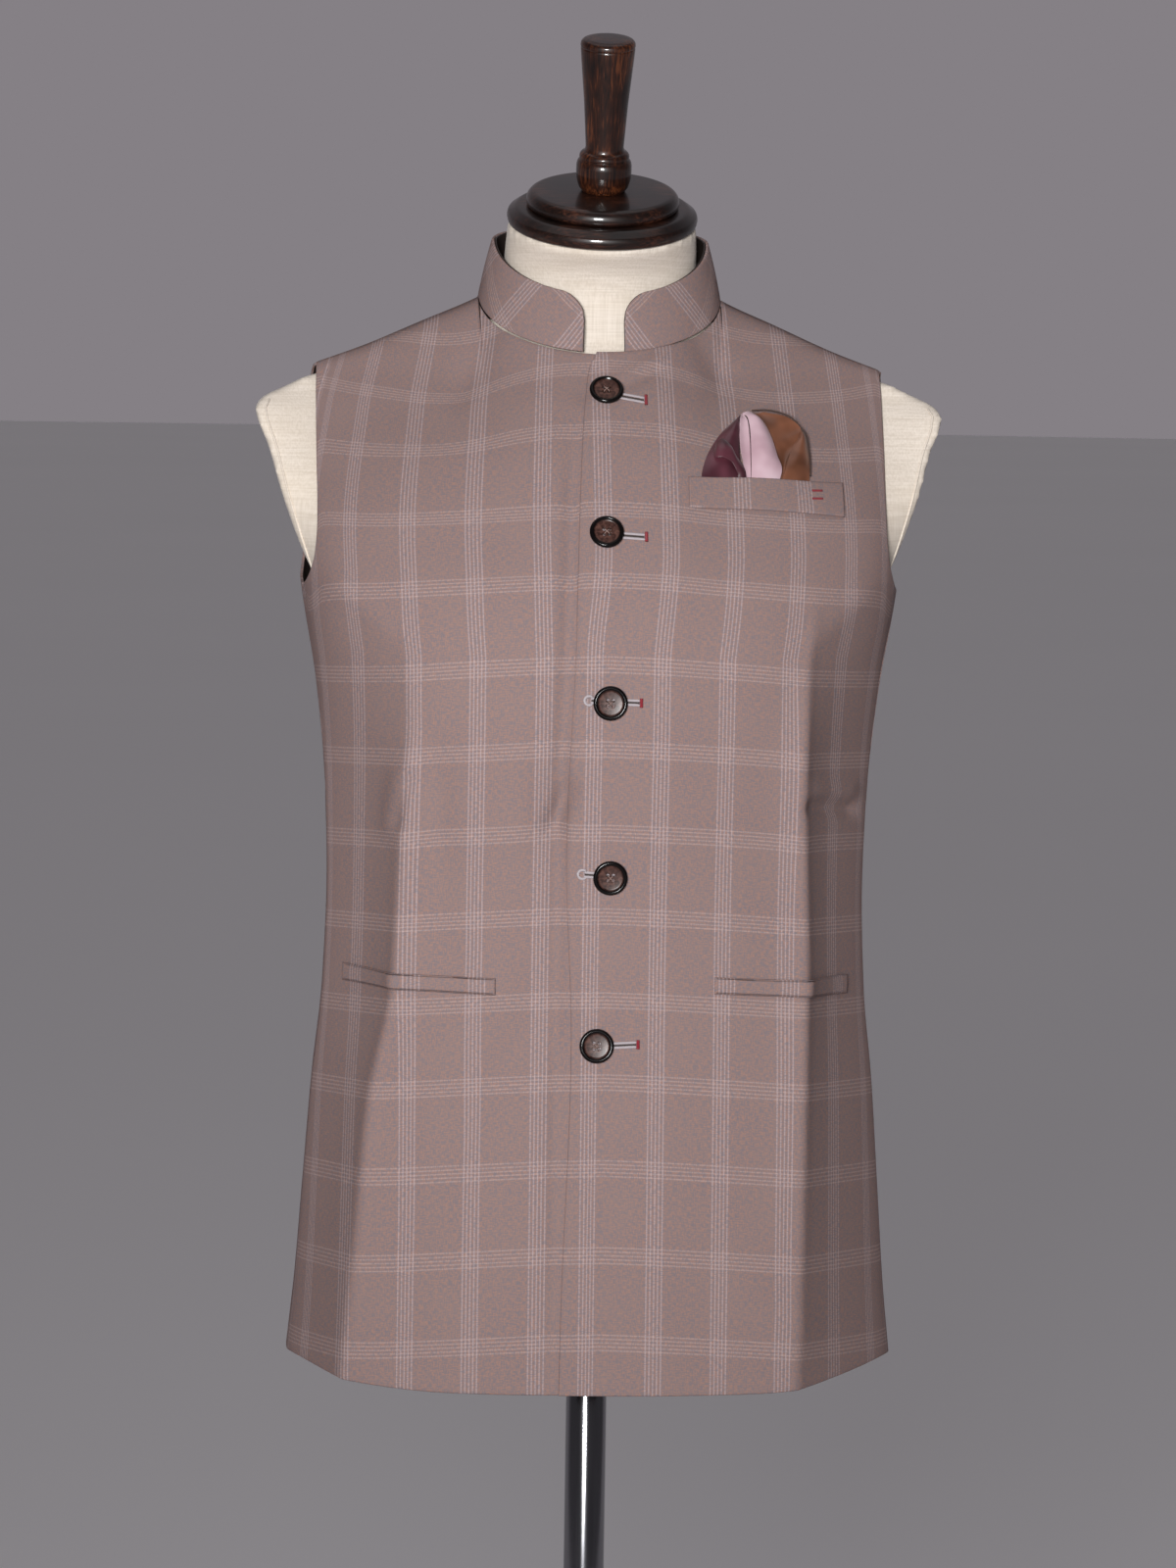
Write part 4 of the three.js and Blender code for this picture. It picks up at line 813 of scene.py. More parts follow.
def horn_material():
    # Polished resin with a horn look: mottled brown in the dish, near black on the rim.
    material, tree = new_material("button_polished_horn_resin")
    face = add(tree, "UVMap", uv_map="face")
    radius = add(tree, "VectorMath", {0: face}, operation="LENGTH").outputs["Value"]
    rim = add(tree, "MapRange", {"Value": radius, "From Min": 0.0076, "From Max": 0.0086})
    mottle = add(tree, "TexNoise", {"Vector": face, "Scale": 260, "Detail": 4, "Distortion": 1.5})
    streaks = add(tree, "ValToRGB", {"Fac": mottle})
    streaks.color_ramp.elements[0].position = 0.35
    streaks.color_ramp.elements[0].color = linear("#2a1815")
    streaks.color_ramp.elements[1].position = 0.7
    streaks.color_ramp.elements[1].color = linear("#5d4038")
    colour = add(tree, "MixRGB", {"Fac": rim, "Color1": streaks, "Color2": linear("#0b0808")})
    # The dish is rubbed to a dull gloss and the rim keeps its polish.
    polish = add(tree, "MapRange", {"Value": rim, "To Min": 0.3, "To Max": 0.18})
    shader = add(tree, "BsdfPrincipled", {
        "Base Color": colour, "Roughness": polish, "IOR": 1.5, "Specular IOR Level": 0.25})
    add(tree, "OutputMaterial", {"Surface": shader})
    return material


def thread_material(name, dark, light, spacing):
    # Cotton thread or silk twist: fine plies wound side by side, with a soft gloss.
    material, tree = new_material(name)
    wound = add(tree, "UVMap", uv_map="wound")
    parts = add(tree, "SeparateXYZ", {0: wound})
    ply = add(tree, "Math", {0: parts.outputs["X"], 1: spacing / 2000}, operation="PINGPONG")
    ply = add(tree, "Math", {0: ply, 1: 2000 / spacing}, operation="MULTIPLY")
    # The colour follows the height of each ply: painted shade in the grooves between plies and painted
    # highlight on their crests.
    colour = add(tree, "MixRGB", {"Fac": ply, "Color1": linear(dark), "Color2": linear(light)})
    bump = add(tree, "Bump", {"Strength": 0.6, "Distance": 0.0002, "Height": ply})
    shader = add(tree, "BsdfPrincipled", {
        "Base Color": colour, "Roughness": 0.5, "IOR": 1.5, "Sheen Weight": 0.15, "Normal": bump})
    add(tree, "OutputMaterial", {"Surface": shader})
    return material


def sewn_tube(name, path, radius, material, closed=False, sides=8, flat=1.0, normals=None):
    """A thread or piping along a path, in millimetres, with its length kept as UVs."""
    path = np.array(path, float)
    if closed:
        ahead, behind = np.roll(path, -1, 0), np.roll(path, 1, 0)
    else:
        ahead, behind = np.vstack((path[1:], path[-1:])), np.vstack((path[:1], path[:-1]))
    tangent = unit(ahead - behind)
    up = unit(np.array(normals, float)) if normals is not None else np.tile((0.0, -1.0, 0.01), (len(path), 1))
    side = unit(np.cross(tangent, up))
    up = np.cross(side, tangent)
    radius = np.broadcast_to(np.asarray(radius, float), (len(path),))
    a = np.linspace(0, 2 * math.pi, sides, endpoint=False)
    points = (path[:, None] + side[:, None] * (np.cos(a)[None, :, None] * radius[:, None, None])
              + up[:, None] * (np.sin(a)[None, :, None] * radius[:, None, None] * flat))
    along = np.concatenate(([0], np.cumsum(np.linalg.norm(np.diff(path, axis=0), axis=1))))
    wound = np.stack((np.repeat(along, sides), np.tile(np.arange(sides) / sides, len(path))), -1)
    faces = ring_faces(len(path), sides, closed, flip=True)
    return new_piece(name, points.reshape(-1, 3) * 0.001, faces, (material,), "wound", wound * 0.001)


def join(main, *others):
    """Makes several pieces one mesh, under the first one's name."""
    bpy.ops.object.select_all(action="DESELECT")
    for piece in (main, *others):
        piece.select_set(True)
    bpy.context.view_layer.objects.active = main
    bpy.ops.object.join()


horn = horn_material()
button_thread = thread_material("thread_brown_cotton", "#6e544c", "#b0938a", 0.3)
BUTTON_SEAT = 0.9
BUTTON_PROFILE = rounded([
    (0.02, 0), (8.6, 0), (10.4, 0.5), (11.2, 1.9), (11.1, 2.8), (10.2, 3.7), (9.2, 3.8), (8.4, 3.1),
    (7.6, 2.65), (4, 2.5), (0.02, 2.45)], 0.5)


def on_ring(turn, reach, height):
    """A point of a button, from its turn round the middle, its distance out and its height."""
    return Vector((reach * math.cos(math.radians(turn)), reach * math.sin(math.radians(turn)), height))


for i, (x, z) in enumerate(BUTTONS):
    p, n = on_front(x, z)
    normal = Vector(n)
    # The four holes lie square to the front edge.
    spin = Vector((0, 0, 1)).rotation_difference(normal).to_matrix().to_4x4()
    place = Matrix.Translation(Vector(p) + normal * BUTTON_SEAT) @ spin
    button = turned_mesh(f"button_{i + 1}_turned", BUTTON_PROFILE, 72, place, horn)
    drills = []
    for turn in (45, 135, 225, 315):
        at = place @ Matrix.Translation(on_ring(turn, HOLE_RING, -1))
        drills.append(turned_mesh("drill", [(HOLE_RADIUS, 0), (HOLE_RADIUS, 6)], 16, at, horn))
    join(*drills)
    cut = button.modifiers.new("holes", "BOOLEAN")
    cut.object, cut.operation, cut.solver = drills[0], "DIFFERENCE", "EXACT"
    bpy.context.view_layer.objects.active = button
    bpy.ops.object.modifier_apply(modifier="holes")
    bpy.data.objects.remove(drills[0])
    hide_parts(f"button_{i + 1}")
    for turn, arch in ((45, 0.75), (135, 0.95)):
        # Thread comes up through one hole, crosses the middle and goes down through the opposite one.
        arc = []
        for t in np.linspace(-1, 1, 13):
            top = 2.7 + arch * (1 - t * t) - 1.2 * max(0, abs(t) - 0.85) / 0.15
            arc.append(tuple(place @ on_ring(turn, HOLE_RING * t, top)))
        stitch = sewn_tube(f"button_{i + 1}_thread_{turn}", arc, 0.25, button_thread,
                           normals=[tuple(normal)] * len(arc))

# Buttonholes and bar tacks
# Keyhole buttonholes in silver-lilac silk twist on the left front. All but the fourth show a short red
# bar at the far end, and the breast welt has two of the same bars.
BUTTONHOLE_LENGTH = 27
PURL_RADIUS = 0.9
PURL_APART = 1.4  # from the slit to the middle of each row
EYE_RADIUS = 2.9
BAR_HALF = 3.0
WELT_BARS = {"x": 134, "long": 7, "z": (1386.5, 1381.5)}
BARS = ((25.5, 1443.5), (23.5, 1357), (20.2, 1252.8), None, (21.8, 1031.5))
EYES = (None, None, (-11.5, 1254), (-13.6, 1141.5), None)
hole_thread = thread_material("thread_lilac_silk_twist", "#857c7e", "#c4babf", 0.7)
red_thread = thread_material("thread_red_silk", "#5c0b18", "#9c1428", 0.5)
# The slit is a dark tube laid between the purl rows: painted shadow for the shade inside the cut.
slit_shadow, slit_tree = new_material("buttonhole_slit_painted_shadow")
slit_noise = add(slit_tree, "TexNoise", {"Scale": 900})
slit_colour = add(slit_tree, "MixRGB", {
    "Fac": slit_noise, "Color1": linear("#2b2422"), "Color2": linear("#4a3f3b")})
slit_shader = add(slit_tree, "BsdfPrincipled", {"Base Color": slit_colour, "Roughness": 0.9})
add(slit_tree, "OutputMaterial", {"Surface": slit_shader})


def laid_on_front(points, lift):
    x, z = np.array(points, float).T
    p, n = on_front(x, z)
    return p + n * lift, n


for i, (x, z) in enumerate(BUTTONS):
    bar = BARS[i]
    eye = EYES[i]
    end_x, end_z = bar if bar else (eye[0] + BUTTONHOLE_LENGTH, z)
    start_x, start_z = eye if eye else (end_x - BUTTONHOLE_LENGTH, z - 0.3)
    slit_line = [(start_x + (end_x - start_x) * t, start_z + (end_z - start_z) * t)
                 for t in np.linspace(0, 1, 20)]
    upper = [(a, b + PURL_APART) for a, b in slit_line]
    lower = [(a, b - PURL_APART) for a, b in slit_line[::-1]]
    # The rows part round the keyhole's eye.
    around = [(start_x + EYE_RADIUS * math.cos(a) - 1.4, start_z + EYE_RADIUS * math.sin(a))
              for a in np.linspace(-0.75, -2 * math.pi + 0.75, 16)]
    path, normals = laid_on_front(upper + lower + around, 0.35)
    purl = sewn_tube(f"buttonhole_{i + 1}_purl", path, PURL_RADIUS, hole_thread, closed=True, flat=0.6,
                     normals=normals)
    # The dark tube in each slit is painted shadow.
    slit, slit_normals = laid_on_front(slit_line, 0.1)
    gap = sewn_tube(f"buttonhole_{i + 1}_slit", slit, 0.7, slit_shadow, flat=0.35, normals=slit_normals)
    if bar:
        ends = [(end_x + 0.4, end_z + BAR_HALF * t) for t in np.linspace(-1, 1, 9)]
        path, normals = laid_on_front(ends, 0.8)
        tack = sewn_tube(f"buttonhole_{i + 1}_bar", path, 1.1, red_thread, flat=0.7, normals=normals)

for k, bar_z in enumerate(WELT_BARS["z"]):
    ends = [(WELT_BARS["x"] + WELT_BARS["long"] * t, bar_z) for t in np.linspace(0, 1, 9)]
    path, normals = laid_on_front(ends, 3.1)
    tack = sewn_tube(f"breast_welt_bar_{k + 1}", path, 0.85, red_thread, flat=0.7, normals=normals)

# Pocket square
# A ready-folded puff of three satin pieces tucked behind the breast welt: burgundy, pale pink with an
# inner fold, and copper brown with a deep hollow. Its outer edge is rolled and sewn in dark brown.
SQUARE_LEFT, SQUARE_FOOT = 60.3, 1393.8


def satin_material(name, dark, middle, light):
    # Polyester satin: long floats give a smooth pearly gloss that is stretched across the threads.
    material, tree = new_material(name)
    place = add(tree, "TexCoord").outputs["Object"]
    stretch = add(tree, "Mapping", {"Vector": place, "Scale": (2600, 900, 500)})
    floats = add(tree, "TexNoise", {"Vector": stretch, "Scale": 1, "Detail": 2})
    wander = add(tree, "TexNoise", {"Vector": place, "Scale": 45, "Detail": 2})
    tone = add(tree, "ValToRGB", {"Fac": wander})
    tone.color_ramp.elements[0].position = 0.3
    tone.color_ramp.elements[0].color = linear(dark)
    tone.color_ramp.elements[1].position = 0.72
    tone.color_ramp.elements[1].color = linear(light)
    tone.color_ramp.elements.new(0.5).color = linear(middle)
    bump = add(tree, "Bump", {"Strength": 0.12, "Distance": 0.0001, "Height": floats})
    shader = add(tree, "BsdfPrincipled", {
        "Base Color": tone, "Roughness": 0.34, "IOR": 1.5, "Specular IOR Level": 0.8, "Sheen Weight": 0.1,
        "Sheen Roughness": 0.3, "Anisotropic": 0.4, "Normal": bump})
    add(tree, "OutputMaterial", {"Surface": shader})
    return material


burgundy = satin_material("satin_burgundy", "#2b1218", "#421e27", "#5e303b")
pink = satin_material("satin_pale_pink", "#b08e98", "#c4a5ae", "#d4bac2")
copper = satin_material("satin_copper_brown", "#52301f", "#764a35", "#946349")


def square_point(across, up, out):
    """A point before the breast, from millimetres right of the puff's corner and above the welt."""
    p, n = on_front(SQUARE_LEFT + np.asarray(across, float), SQUARE_FOOT + np.asarray(up, float))
    return p + n * np.asarray(out, float)[..., None]


# Each fold lies between a left and a right edge, from top to foot: across, up and out of the front.
TUCK = -4.5
SATIN_CLOTH = 0.5
ROLLED_RADIUS = 0.55
FOLDS = {
    "burgundy_back": (
        burgundy,
        ((27.2, 40, 2.5), (16, 31, 2.2), (9.5, 23.5, 2), (3.8, 14, 2), (0.6, 4, 2), (0, TUCK, 1)),
        ((27.8, 39.6, 3), (26, 30.5, 6.5), (25.8, 21, 4.4), (26.5, 12, 3), (30, 4, 2.4), (33, TUCK, 1)), 4.2),
    "burgundy_loop": (
        burgundy,
        ((9.5, 18, 4), (10, 21, 6), (13, 23, 7), (18, 20, 6.4), (23, 13, 5), (29, 5, 3.6), (31, TUCK, 1)),
        ((8.2, 15, 4), (9, 11.5, 7), (13, 10.5, 9), (18, 8.6, 8), (22, 5, 6), (24.5, 1, 3), (25, TUCK, 1)),
        2.4),
    "pink_inner": (
        pink,
        ((28.5, 40.4, 4.5), (26.4, 35.5, 7), (25.8, 27.5, 6.2), (26.4, 18.5, 5), (28, 10.3, 4),
         (31, TUCK, 1)),
        ((29.5, 40.4, 5), (31.6, 33.8, 7), (32.4, 26.6, 6.4), (32.9, 18.5, 5.4), (33, 10.3, 4.4),
         (33.6, TUCK, 1)),
        -0.8),
    "pink_main": (
        pink,
        ((28.7, 40.6, 5), (31.3, 35.5, 7.8), (32.4, 27.5, 7.6), (32.7, 18.5, 6.8), (33, 8.6, 5.4),
         (33.6, TUCK, 1)),
        ((35.2, 41.8, 4.4), (42.6, 33.8, 6.4), (47.9, 23.9, 5.4), (51.2, 14, 4.4), (54.2, 5.9, 3.4),
         (51.2, TUCK, 1)),
        3.6),
    "copper_hollow": (
        copper,
        ((35.8, 42.2, 3.2), (42.2, 33.6, 5), (47, 23.9, 3.4), (50.7, 14, 2.4), (54.2, 5.4, 1.8),
         (54, TUCK, 1)),
        ((44, 42, 4), (59.2, 35.7, 8), (67, 28.5, 7.4), (64.6, 21.2, 3), (59.6, 14, 2),
         (54.6, TUCK, 1)), -2.6),
    "copper_lobe": (
        copper,
        ((66.8, 30.6, 5), (64.5, 23, 6.8), (61.5, 19.4, 6.6), (58, 12.2, 5.6), (55.6, 4, 4),
         (53, TUCK, 1)),
        ((67.2, 30.2, 5), (70.5, 25.7, 5.6), (72, 18.5, 4.6), (72.8, 10.4, 3.8), (73, 3.2, 2.6),
         (73, TUCK, 1)),
        3.2),
}


def curve_through(points, count):
    points = np.array(points, float)
    key = np.linspace(0, 1, len(points))
    at = np.linspace(0, 1, count)
    columns = [between({"k": key, "v": points[:, c]}, "k", "v", at) for c in range(points.shape[1])]
    return np.stack(columns, -1)


square_parts = []
SQUARE_CUTS = {}
for name, (material, left_edge, right_edge, swell) in FOLDS.items():
    rows, cols = 48, 40
    a, b = curve_through(left_edge, rows), curve_through(right_edge, rows)
    u = np.linspace(0, 1, cols)[None, :, None]
    grid = a[:, None] * (1 - u) + b[:, None] * u
    fade = np.sin(np.pi * np.linspace(0.12, 0.97, rows))[:, None]
    out = grid[..., 2] + swell * np.sin(np.pi * u[..., 0]) * fade
    outer = square_point(grid[..., 0], grid[..., 1], out)[::-1]
    across = np.gradient(outer, axis=1)
    along = np.gradient(outer, axis=0)
    normals = unit(np.cross(across, along))
    flat = grid[::-1, :, :2]
    square_parts.append(cloth_object("pocket_square_" + name, outer, normals, flat, SATIN_CLOTH, (material,)))
    # The width and length of each fold are measured along its own curves.
    wide = np.linalg.norm(np.diff(outer, axis=1), axis=2).sum(axis=1).mean() / 1000
    long = np.linalg.norm(np.diff(outer, axis=0), axis=2).sum(axis=0).mean() / 1000
    SQUARE_CUTS["pocket_square_" + name] = (round(wide, 4), round(long, 4))
# The pink cloth is one piece with its inner fold.
inner_fold, petal = square_parts[2:4]
square_parts.remove(inner_fold)
join(petal, inner_fold)
inner_wide, _ = SQUARE_CUTS["pocket_square_pink_inner"]
petal_wide, petal_long = SQUARE_CUTS[petal.name]
SQUARE_CUTS[petal.name] = (round(inner_wide + petal_wide, 4), petal_long)
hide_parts("pocket_square")
EDGE = curve_through((
    (35.8, 42.6, 4.4), (44, 42.4, 5.2), (59.2, 36.2, 8.6), (67.4, 30.2, 6.4), (70.9, 25.7, 6),
    (72.4, 18.5, 5), (73.2, 10.4, 4), (73.4, 2, 2.6)), 40)
edge_thread = thread_material("thread_dark_brown_rolled_edge", "#1d100c", "#4a2c20", 0.9)
rolled = sewn_tube("pocket_square_rolled_edge", square_point(*EDGE.T), ROLLED_RADIUS, edge_thread)

# Tailor's form
# A limbless form: padding over a hard shell, covered in cream linen that is sewn at the neck and round
# each flat arm plate. The neck leans forward under its wooden cap.
FORM_BOTTOM = 856
FORM_CLEAR = 6  # from the outside of the garment to the linen
SHOULDER_CLEAR = 4.5
SKIN_GRID = 0.0034
PIPING_RADIUS = 0.8
ARM_PLATE = {
    "z": (1318, 1345, 1380, 1410, 1436, 1442, 1450, 1457),
    "x": (184, 197, 210, 219, 228, 224, 208, 194),
    "front": (-2, -10, -8, 4, 15, 22, 32, 36),
    "back": (8, 28, 42, 52, 56, 56, 56, 56),
}
FORM_NECK = {
    "z": (1440, 1470, 1495, 1515, 1535, 1559.1),
    "y": (42, 45, 46, 45.5, 42, 29.2),
    "lean": (0, 0, 4, 8, 13, 17.5),
    "half_x": (60, 61.5, 63.5, 64, 64, 62.5),
    "half_y": (48, 49, 50, 50, 52, 60),
}


def form_ring(z):
    """Half a ring of the form, front to back on the wearer's left."""
    def inset(turn, extra=0.0):
        p = body(turn, z + SHOULDER_CLEAR * ease(1380, 1440, z))
        n = outward(turn, np.full(np.shape(turn), float(z)))
        n[..., 2] = 0
        # Where a front falls inwards, the padding gives way under it.
        level = np.full(np.shape(turn), float(z))
        pressed = np.minimum(front_relief(p[..., 0], level), front_relief(-p[..., 0], level))
        extra = extra + np.where(np.abs(turn) < 90, np.maximum(0, -pressed), 0)
        fall = np.maximum(side_fall(p[..., 0], level), side_fall(-p[..., 0], level))
        p[..., 1] += np.where(np.abs(turn) < 90, fall, 0)
        p = p - unit(n) * (FORM_CLEAR + np.asarray(extra))[..., None]
        p[..., 2] = z
        return p
    panel = 36
    top = ARM_PLATE["z"][-1]
    armed = ARM_PLATE["z"][0] <= z <= top
    side = float(between(SECTIONS, "z", "side", z))
    if z > top:
        xs = np.linspace(0, 200, 400)
        reach = xs[between(SHOULDER, "x", "front", xs) - SHOULDER_CLEAR > z].max(initial=0) - 2
        across = reach * np.sin(np.linspace(0, math.pi / 2, panel + 1))
        front = inset(turn_at(across, z))
        rear = inset(turn_at(across[::-1], z, "back"))
        for row in (front, rear):
            row[:, 0] = np.minimum(row[:, 0], reach)
        front[:, 1] = np.minimum(front[:, 1], side - 1.5)
        rear[:, 1] = np.maximum(rear[:, 1], side + 1.5)
        return np.concatenate((front, rear))
    first = between(ARMHOLE, "z", "front", z) - 3 if armed else 82
    second = between(ARMHOLE, "z", "back", z) + 4 if armed else 98
    front = inset(np.linspace(0, first, panel))
    hollow = 4 * (1 - ease(0, 8, np.arange(panel))) if armed else np.zeros(panel)
    rear = inset(np.linspace(second, 180, panel), hollow)
    if armed:
        x = float(between(ARM_PLATE, "z", "x", z))
        plate = np.array([(x, float(between(ARM_PLATE, "z", edge, z)), z) for edge in ("front", "back")])
    else:
        plate = inset(np.array([87.0, 93.0]))
    return np.concatenate((front, plate, rear))


def lofted(name, rings):
    """A closed body through rings of equal length, in millimetres."""
    return new_piece(name, np.concatenate(rings) * 0.001, ring_faces(len(rings), len(rings[0])))


def full_ring(half):
    other = half[1:-1][::-1] * (-1, 1, 1)
    return np.concatenate((half, other))


levels = np.concatenate(([FORM_BOTTOM], np.arange(862, 1318, 12), np.arange(1318, 1456, 3),
                         (1456.5, 1458, 1461), np.arange(1464, 1498, 4)))
form = lofted("form_linen_cover", [full_ring(form_ring(float(z))) for z in levels])
neck_rings = []
for z in np.linspace(1440, 1561, 40):
    lean = math.radians(between(FORM_NECK, "z", "lean", z))
    a = np.linspace(0, 2 * math.pi, 96, endpoint=False)
    reach = -np.cos(a) * between(FORM_NECK, "z", "half_y", z)
    neck_rings.append(np.stack((np.sin(a) * between(FORM_NECK, "z", "half_x", z),
                                between(FORM_NECK, "z", "y", z) + reach * math.cos(lean),
                                z + reach * math.sin(lean)), -1))
neck = lofted("form_neck", neck_rings)
join(form, neck)
skin = form.modifiers.new("one_skin", "REMESH")
skin.mode, skin.voxel_size, skin.use_smooth_shade = "VOXEL", SKIN_GRID, True
soften = form.modifiers.new("padding", "SMOOTH")
soften.factor, soften.iterations = 0.5, 3
for name in ("one_skin", "padding"):
    bpy.ops.object.modifier_apply(modifier=name)


def linen_material():
    # Natural linen in a plain weave: cream, with slubs where the yarn is thicker.
    material, tree = new_material("form_cream_linen")
    place = add(tree, "TexCoord").outputs["Object"]
    upright = add(tree, "Mapping", {"Vector": place, "Scale": (1 / 0.0011, 1 / 0.0011, 1 / 0.03)})
    level = add(tree, "Mapping", {"Vector": place, "Scale": (1 / 0.03, 1 / 0.03, 1 / 0.0011)})
    warp = add(tree, "TexNoise", {"Vector": upright, "Scale": 1, "Detail": 2})
    weft = add(tree, "TexNoise", {"Vector": level, "Scale": 1, "Detail": 2})
    both = add(tree, "Math", {0: warp, 1: weft}, operation="ADD")
    threads = add(tree, "MapRange", {"Value": both, "From Min": 0.75, "From Max": 1.25})
    soil = add(tree, "TexNoise", {"Vector": place, "Scale": 14, "Detail": 4})
    cream = add(tree, "MixRGB", {"Fac": threads, "Color1": linear("#cdc1b3"), "Color2": linear("#dfd4c8")})
    worn = add(tree, "MapRange", {"Value": soil, "From Min": 0.45, "From Max": 0.75, "To Max": 0.35})
    colour = add(tree, "MixRGB", {"Fac": worn, "Color1": cream, "Color2": linear("#d2c2ac")})
    bump = add(tree, "Bump", {"Strength": 0.3, "Distance": 0.0002, "Height": threads})
    shader = add(tree, "BsdfPrincipled", {
        "Base Color": colour, "Roughness": 0.86, "IOR": 1.5, "Sheen Weight": 0.1, "Normal": bump})
    add(tree, "OutputMaterial", {"Surface": shader})
    return material


linen = linen_material()
seam_levels = np.concatenate((np.arange(1326, 1434, 6), (1436, 1441)))
for side in (-1, 1):
    rims = []
    for z in seam_levels:
        half_ring = form_ring(float(z))
        k = int(np.argmax(half_ring[:, 0]))
        k = k if abs(half_ring[k, 0] - half_ring[k + 1, 0]) < 0.01 else k - 1
        fore = half_ring[k] + (half_ring[k - 1] - half_ring[k]) * 0.14
        aft = half_ring[k + 1] + (half_ring[k + 2] - half_ring[k + 1]) * 0.1
        rims.append((fore, aft))
    over = (rims[-1][0] + rims[-1][1]) / 2 + (0, 0, 2.5)
    route = np.array([fore for fore, _ in rims] + [over] + [aft for _, aft in rims[::-1]]) * (side, 1, 1)
    middle = np.array((side * 190, 25, 1385))
    piping = sewn_tube(f"form_plate_seam_{'left' if side > 0 else 'right'}", route, PIPING_RADIUS, linen,
                       normals=route - middle)
form.data.materials.clear()
form.data.materials.append(linen)
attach(form, "root")
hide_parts("form_torso")

# Wooden cap
# Two turned discs with a bulb and a tapered handle, of dark stained hardwood under thick varnish. The
# cap closes the neck and tilts forward with it.
CAP_TILT = math.radians(17.5)
CAP_PLACE = Matrix.Translation((0, 27, 1566)) @ Matrix.Rotation(CAP_TILT, 4, "X")


def wood_material(name, dark, middle, light, ringed):
    # Stained hardwood: long grain streaks under a deep gloss varnish.
    material, tree = new_material(name)
    place = add(tree, "TexCoord").outputs["Object"]
    upright = add(tree, "Mapping", {"Vector": place, "Rotation": (-CAP_TILT, 0, 0)}, vector_type="POINT")
    scale = (90, 700, 700) if ringed else (650, 650, 45)
    grain_place = add(tree, "Mapping", {"Vector": upright, "Scale": scale})
    grain = add(tree, "TexNoise", {"Vector": grain_place, "Scale": 1, "Detail": 4, "Distortion": 0.6})
    patch = add(tree, "TexNoise", {"Vector": upright, "Scale": 30, "Detail": 2})
    mixed = add(tree, "Math", {0: grain, 1: patch}, operation="MULTIPLY")
    tone = add(tree, "ValToRGB", {"Fac": mixed})
    tone.color_ramp.elements[0].position = 0.16
    tone.color_ramp.elements[0].color = linear(dark)
    tone.color_ramp.elements[1].position = 0.42
    tone.color_ramp.elements[1].color = linear(light)
    tone.color_ramp.elements.new(0.27).color = linear(middle)
    bump = add(tree, "Bump", {"Strength": 0.08, "Distance": 0.0002, "Height": grain})
    shader = add(tree, "BsdfPrincipled", {
        "Base Color": tone, "Roughness": 0.4, "IOR": 1.5, "Specular IOR Level": 0.3, "Coat Weight": 0.6,
        "Coat Roughness": 0.1, "Coat IOR": 1.5, "Normal": bump})
    add(tree, "OutputMaterial", {"Surface": shader})
    return material


disc_wood = wood_material("cap_dark_varnished_wood", "#0e0604", "#1f0f0a", "#45261a", True)
handle_wood = wood_material("handle_varnished_wood", "#120705", "#2e150b", "#6b3a1e", False)
cap_lower = turned_mesh("cap_lower_turned", rounded([
    (0.02, -6.5), (59.4, -6.5), (62.4, -4.6), (63.4, -0.6), (62.6, 2.2), (61.2, 3.2), (59.5, 4.4), (57, 6.1),
    (53, 6.5), (0.02, 6.5)], 1.2), 160, CAP_PLACE, disc_wood)
cap_upper = turned_mesh("cap_upper_turned", rounded([
    (0.02, 6.9), (49.6, 6.9), (50.6, 8.4), (50.8, 11), (50, 13.6), (48, 15.8), (45.5, 16.7), (20, 17),
    (0.02, 17)], 1.0), 144, CAP_PLACE, disc_wood)
HANDLE_FOOT = 17.3
HANDLE = (
    (0.02, 0), (14.2, 0), (16.4, 3), (17.9, 8), (18.4, 13), (18.3, 18), (17.6, 20.6), (16.4, 21.8),
    (16, 22.4), (16.6, 23), (16.4, 25), (15, 26.6), (13.2, 27.4), (12.6, 30), (14.6, 60), (17.6, 92),
    (18, 97), (17.6, 97.8), (18.2, 98.6), (17.9, 101), (16.4, 102.6), (13, 103.3), (0.02, 103.5))
cap_handle = turned_mesh("cap_handle_turned", rounded([(r, HANDLE_FOOT + h) for r, h in HANDLE], 0.8), 112,
                         CAP_PLACE, handle_wood)
for part, node in ((cap_lower, "cap_lower"), (cap_upper, "cap_upper"), (cap_handle, "cap_handle")):
    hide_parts(node)

# Pole and base
# A polished chrome tube stands on a round brushed steel base. A hub grips it below, and a pressed steel
# flange carries the form.


def metal_material(name, colour, roughness, brushed):
    material, tree = new_material(name)
    place = add(tree, "TexCoord").outputs["Object"]
    stretch = add(tree, "Mapping", {"Vector": place, "Scale": (60, 60, 1800) if brushed else (300, 300, 8)})
    marks = add(tree, "TexNoise", {"Vector": stretch, "Scale": 1, "Detail": 3})
    worn = add(tree, "MapRange", {"Value": marks, "To Min": roughness * 0.7, "To Max": roughness * 1.4})
    tint = add(tree, "MixRGB", {"Fac": marks, "Color1": linear(colour[0]), "Color2": linear(colour[1])})
    shader = add(tree, "BsdfPrincipled", {"Base Color": tint, "Metallic": 1.0, "Roughness": worn})
    add(tree, "OutputMaterial", {"Surface": shader})
    return material


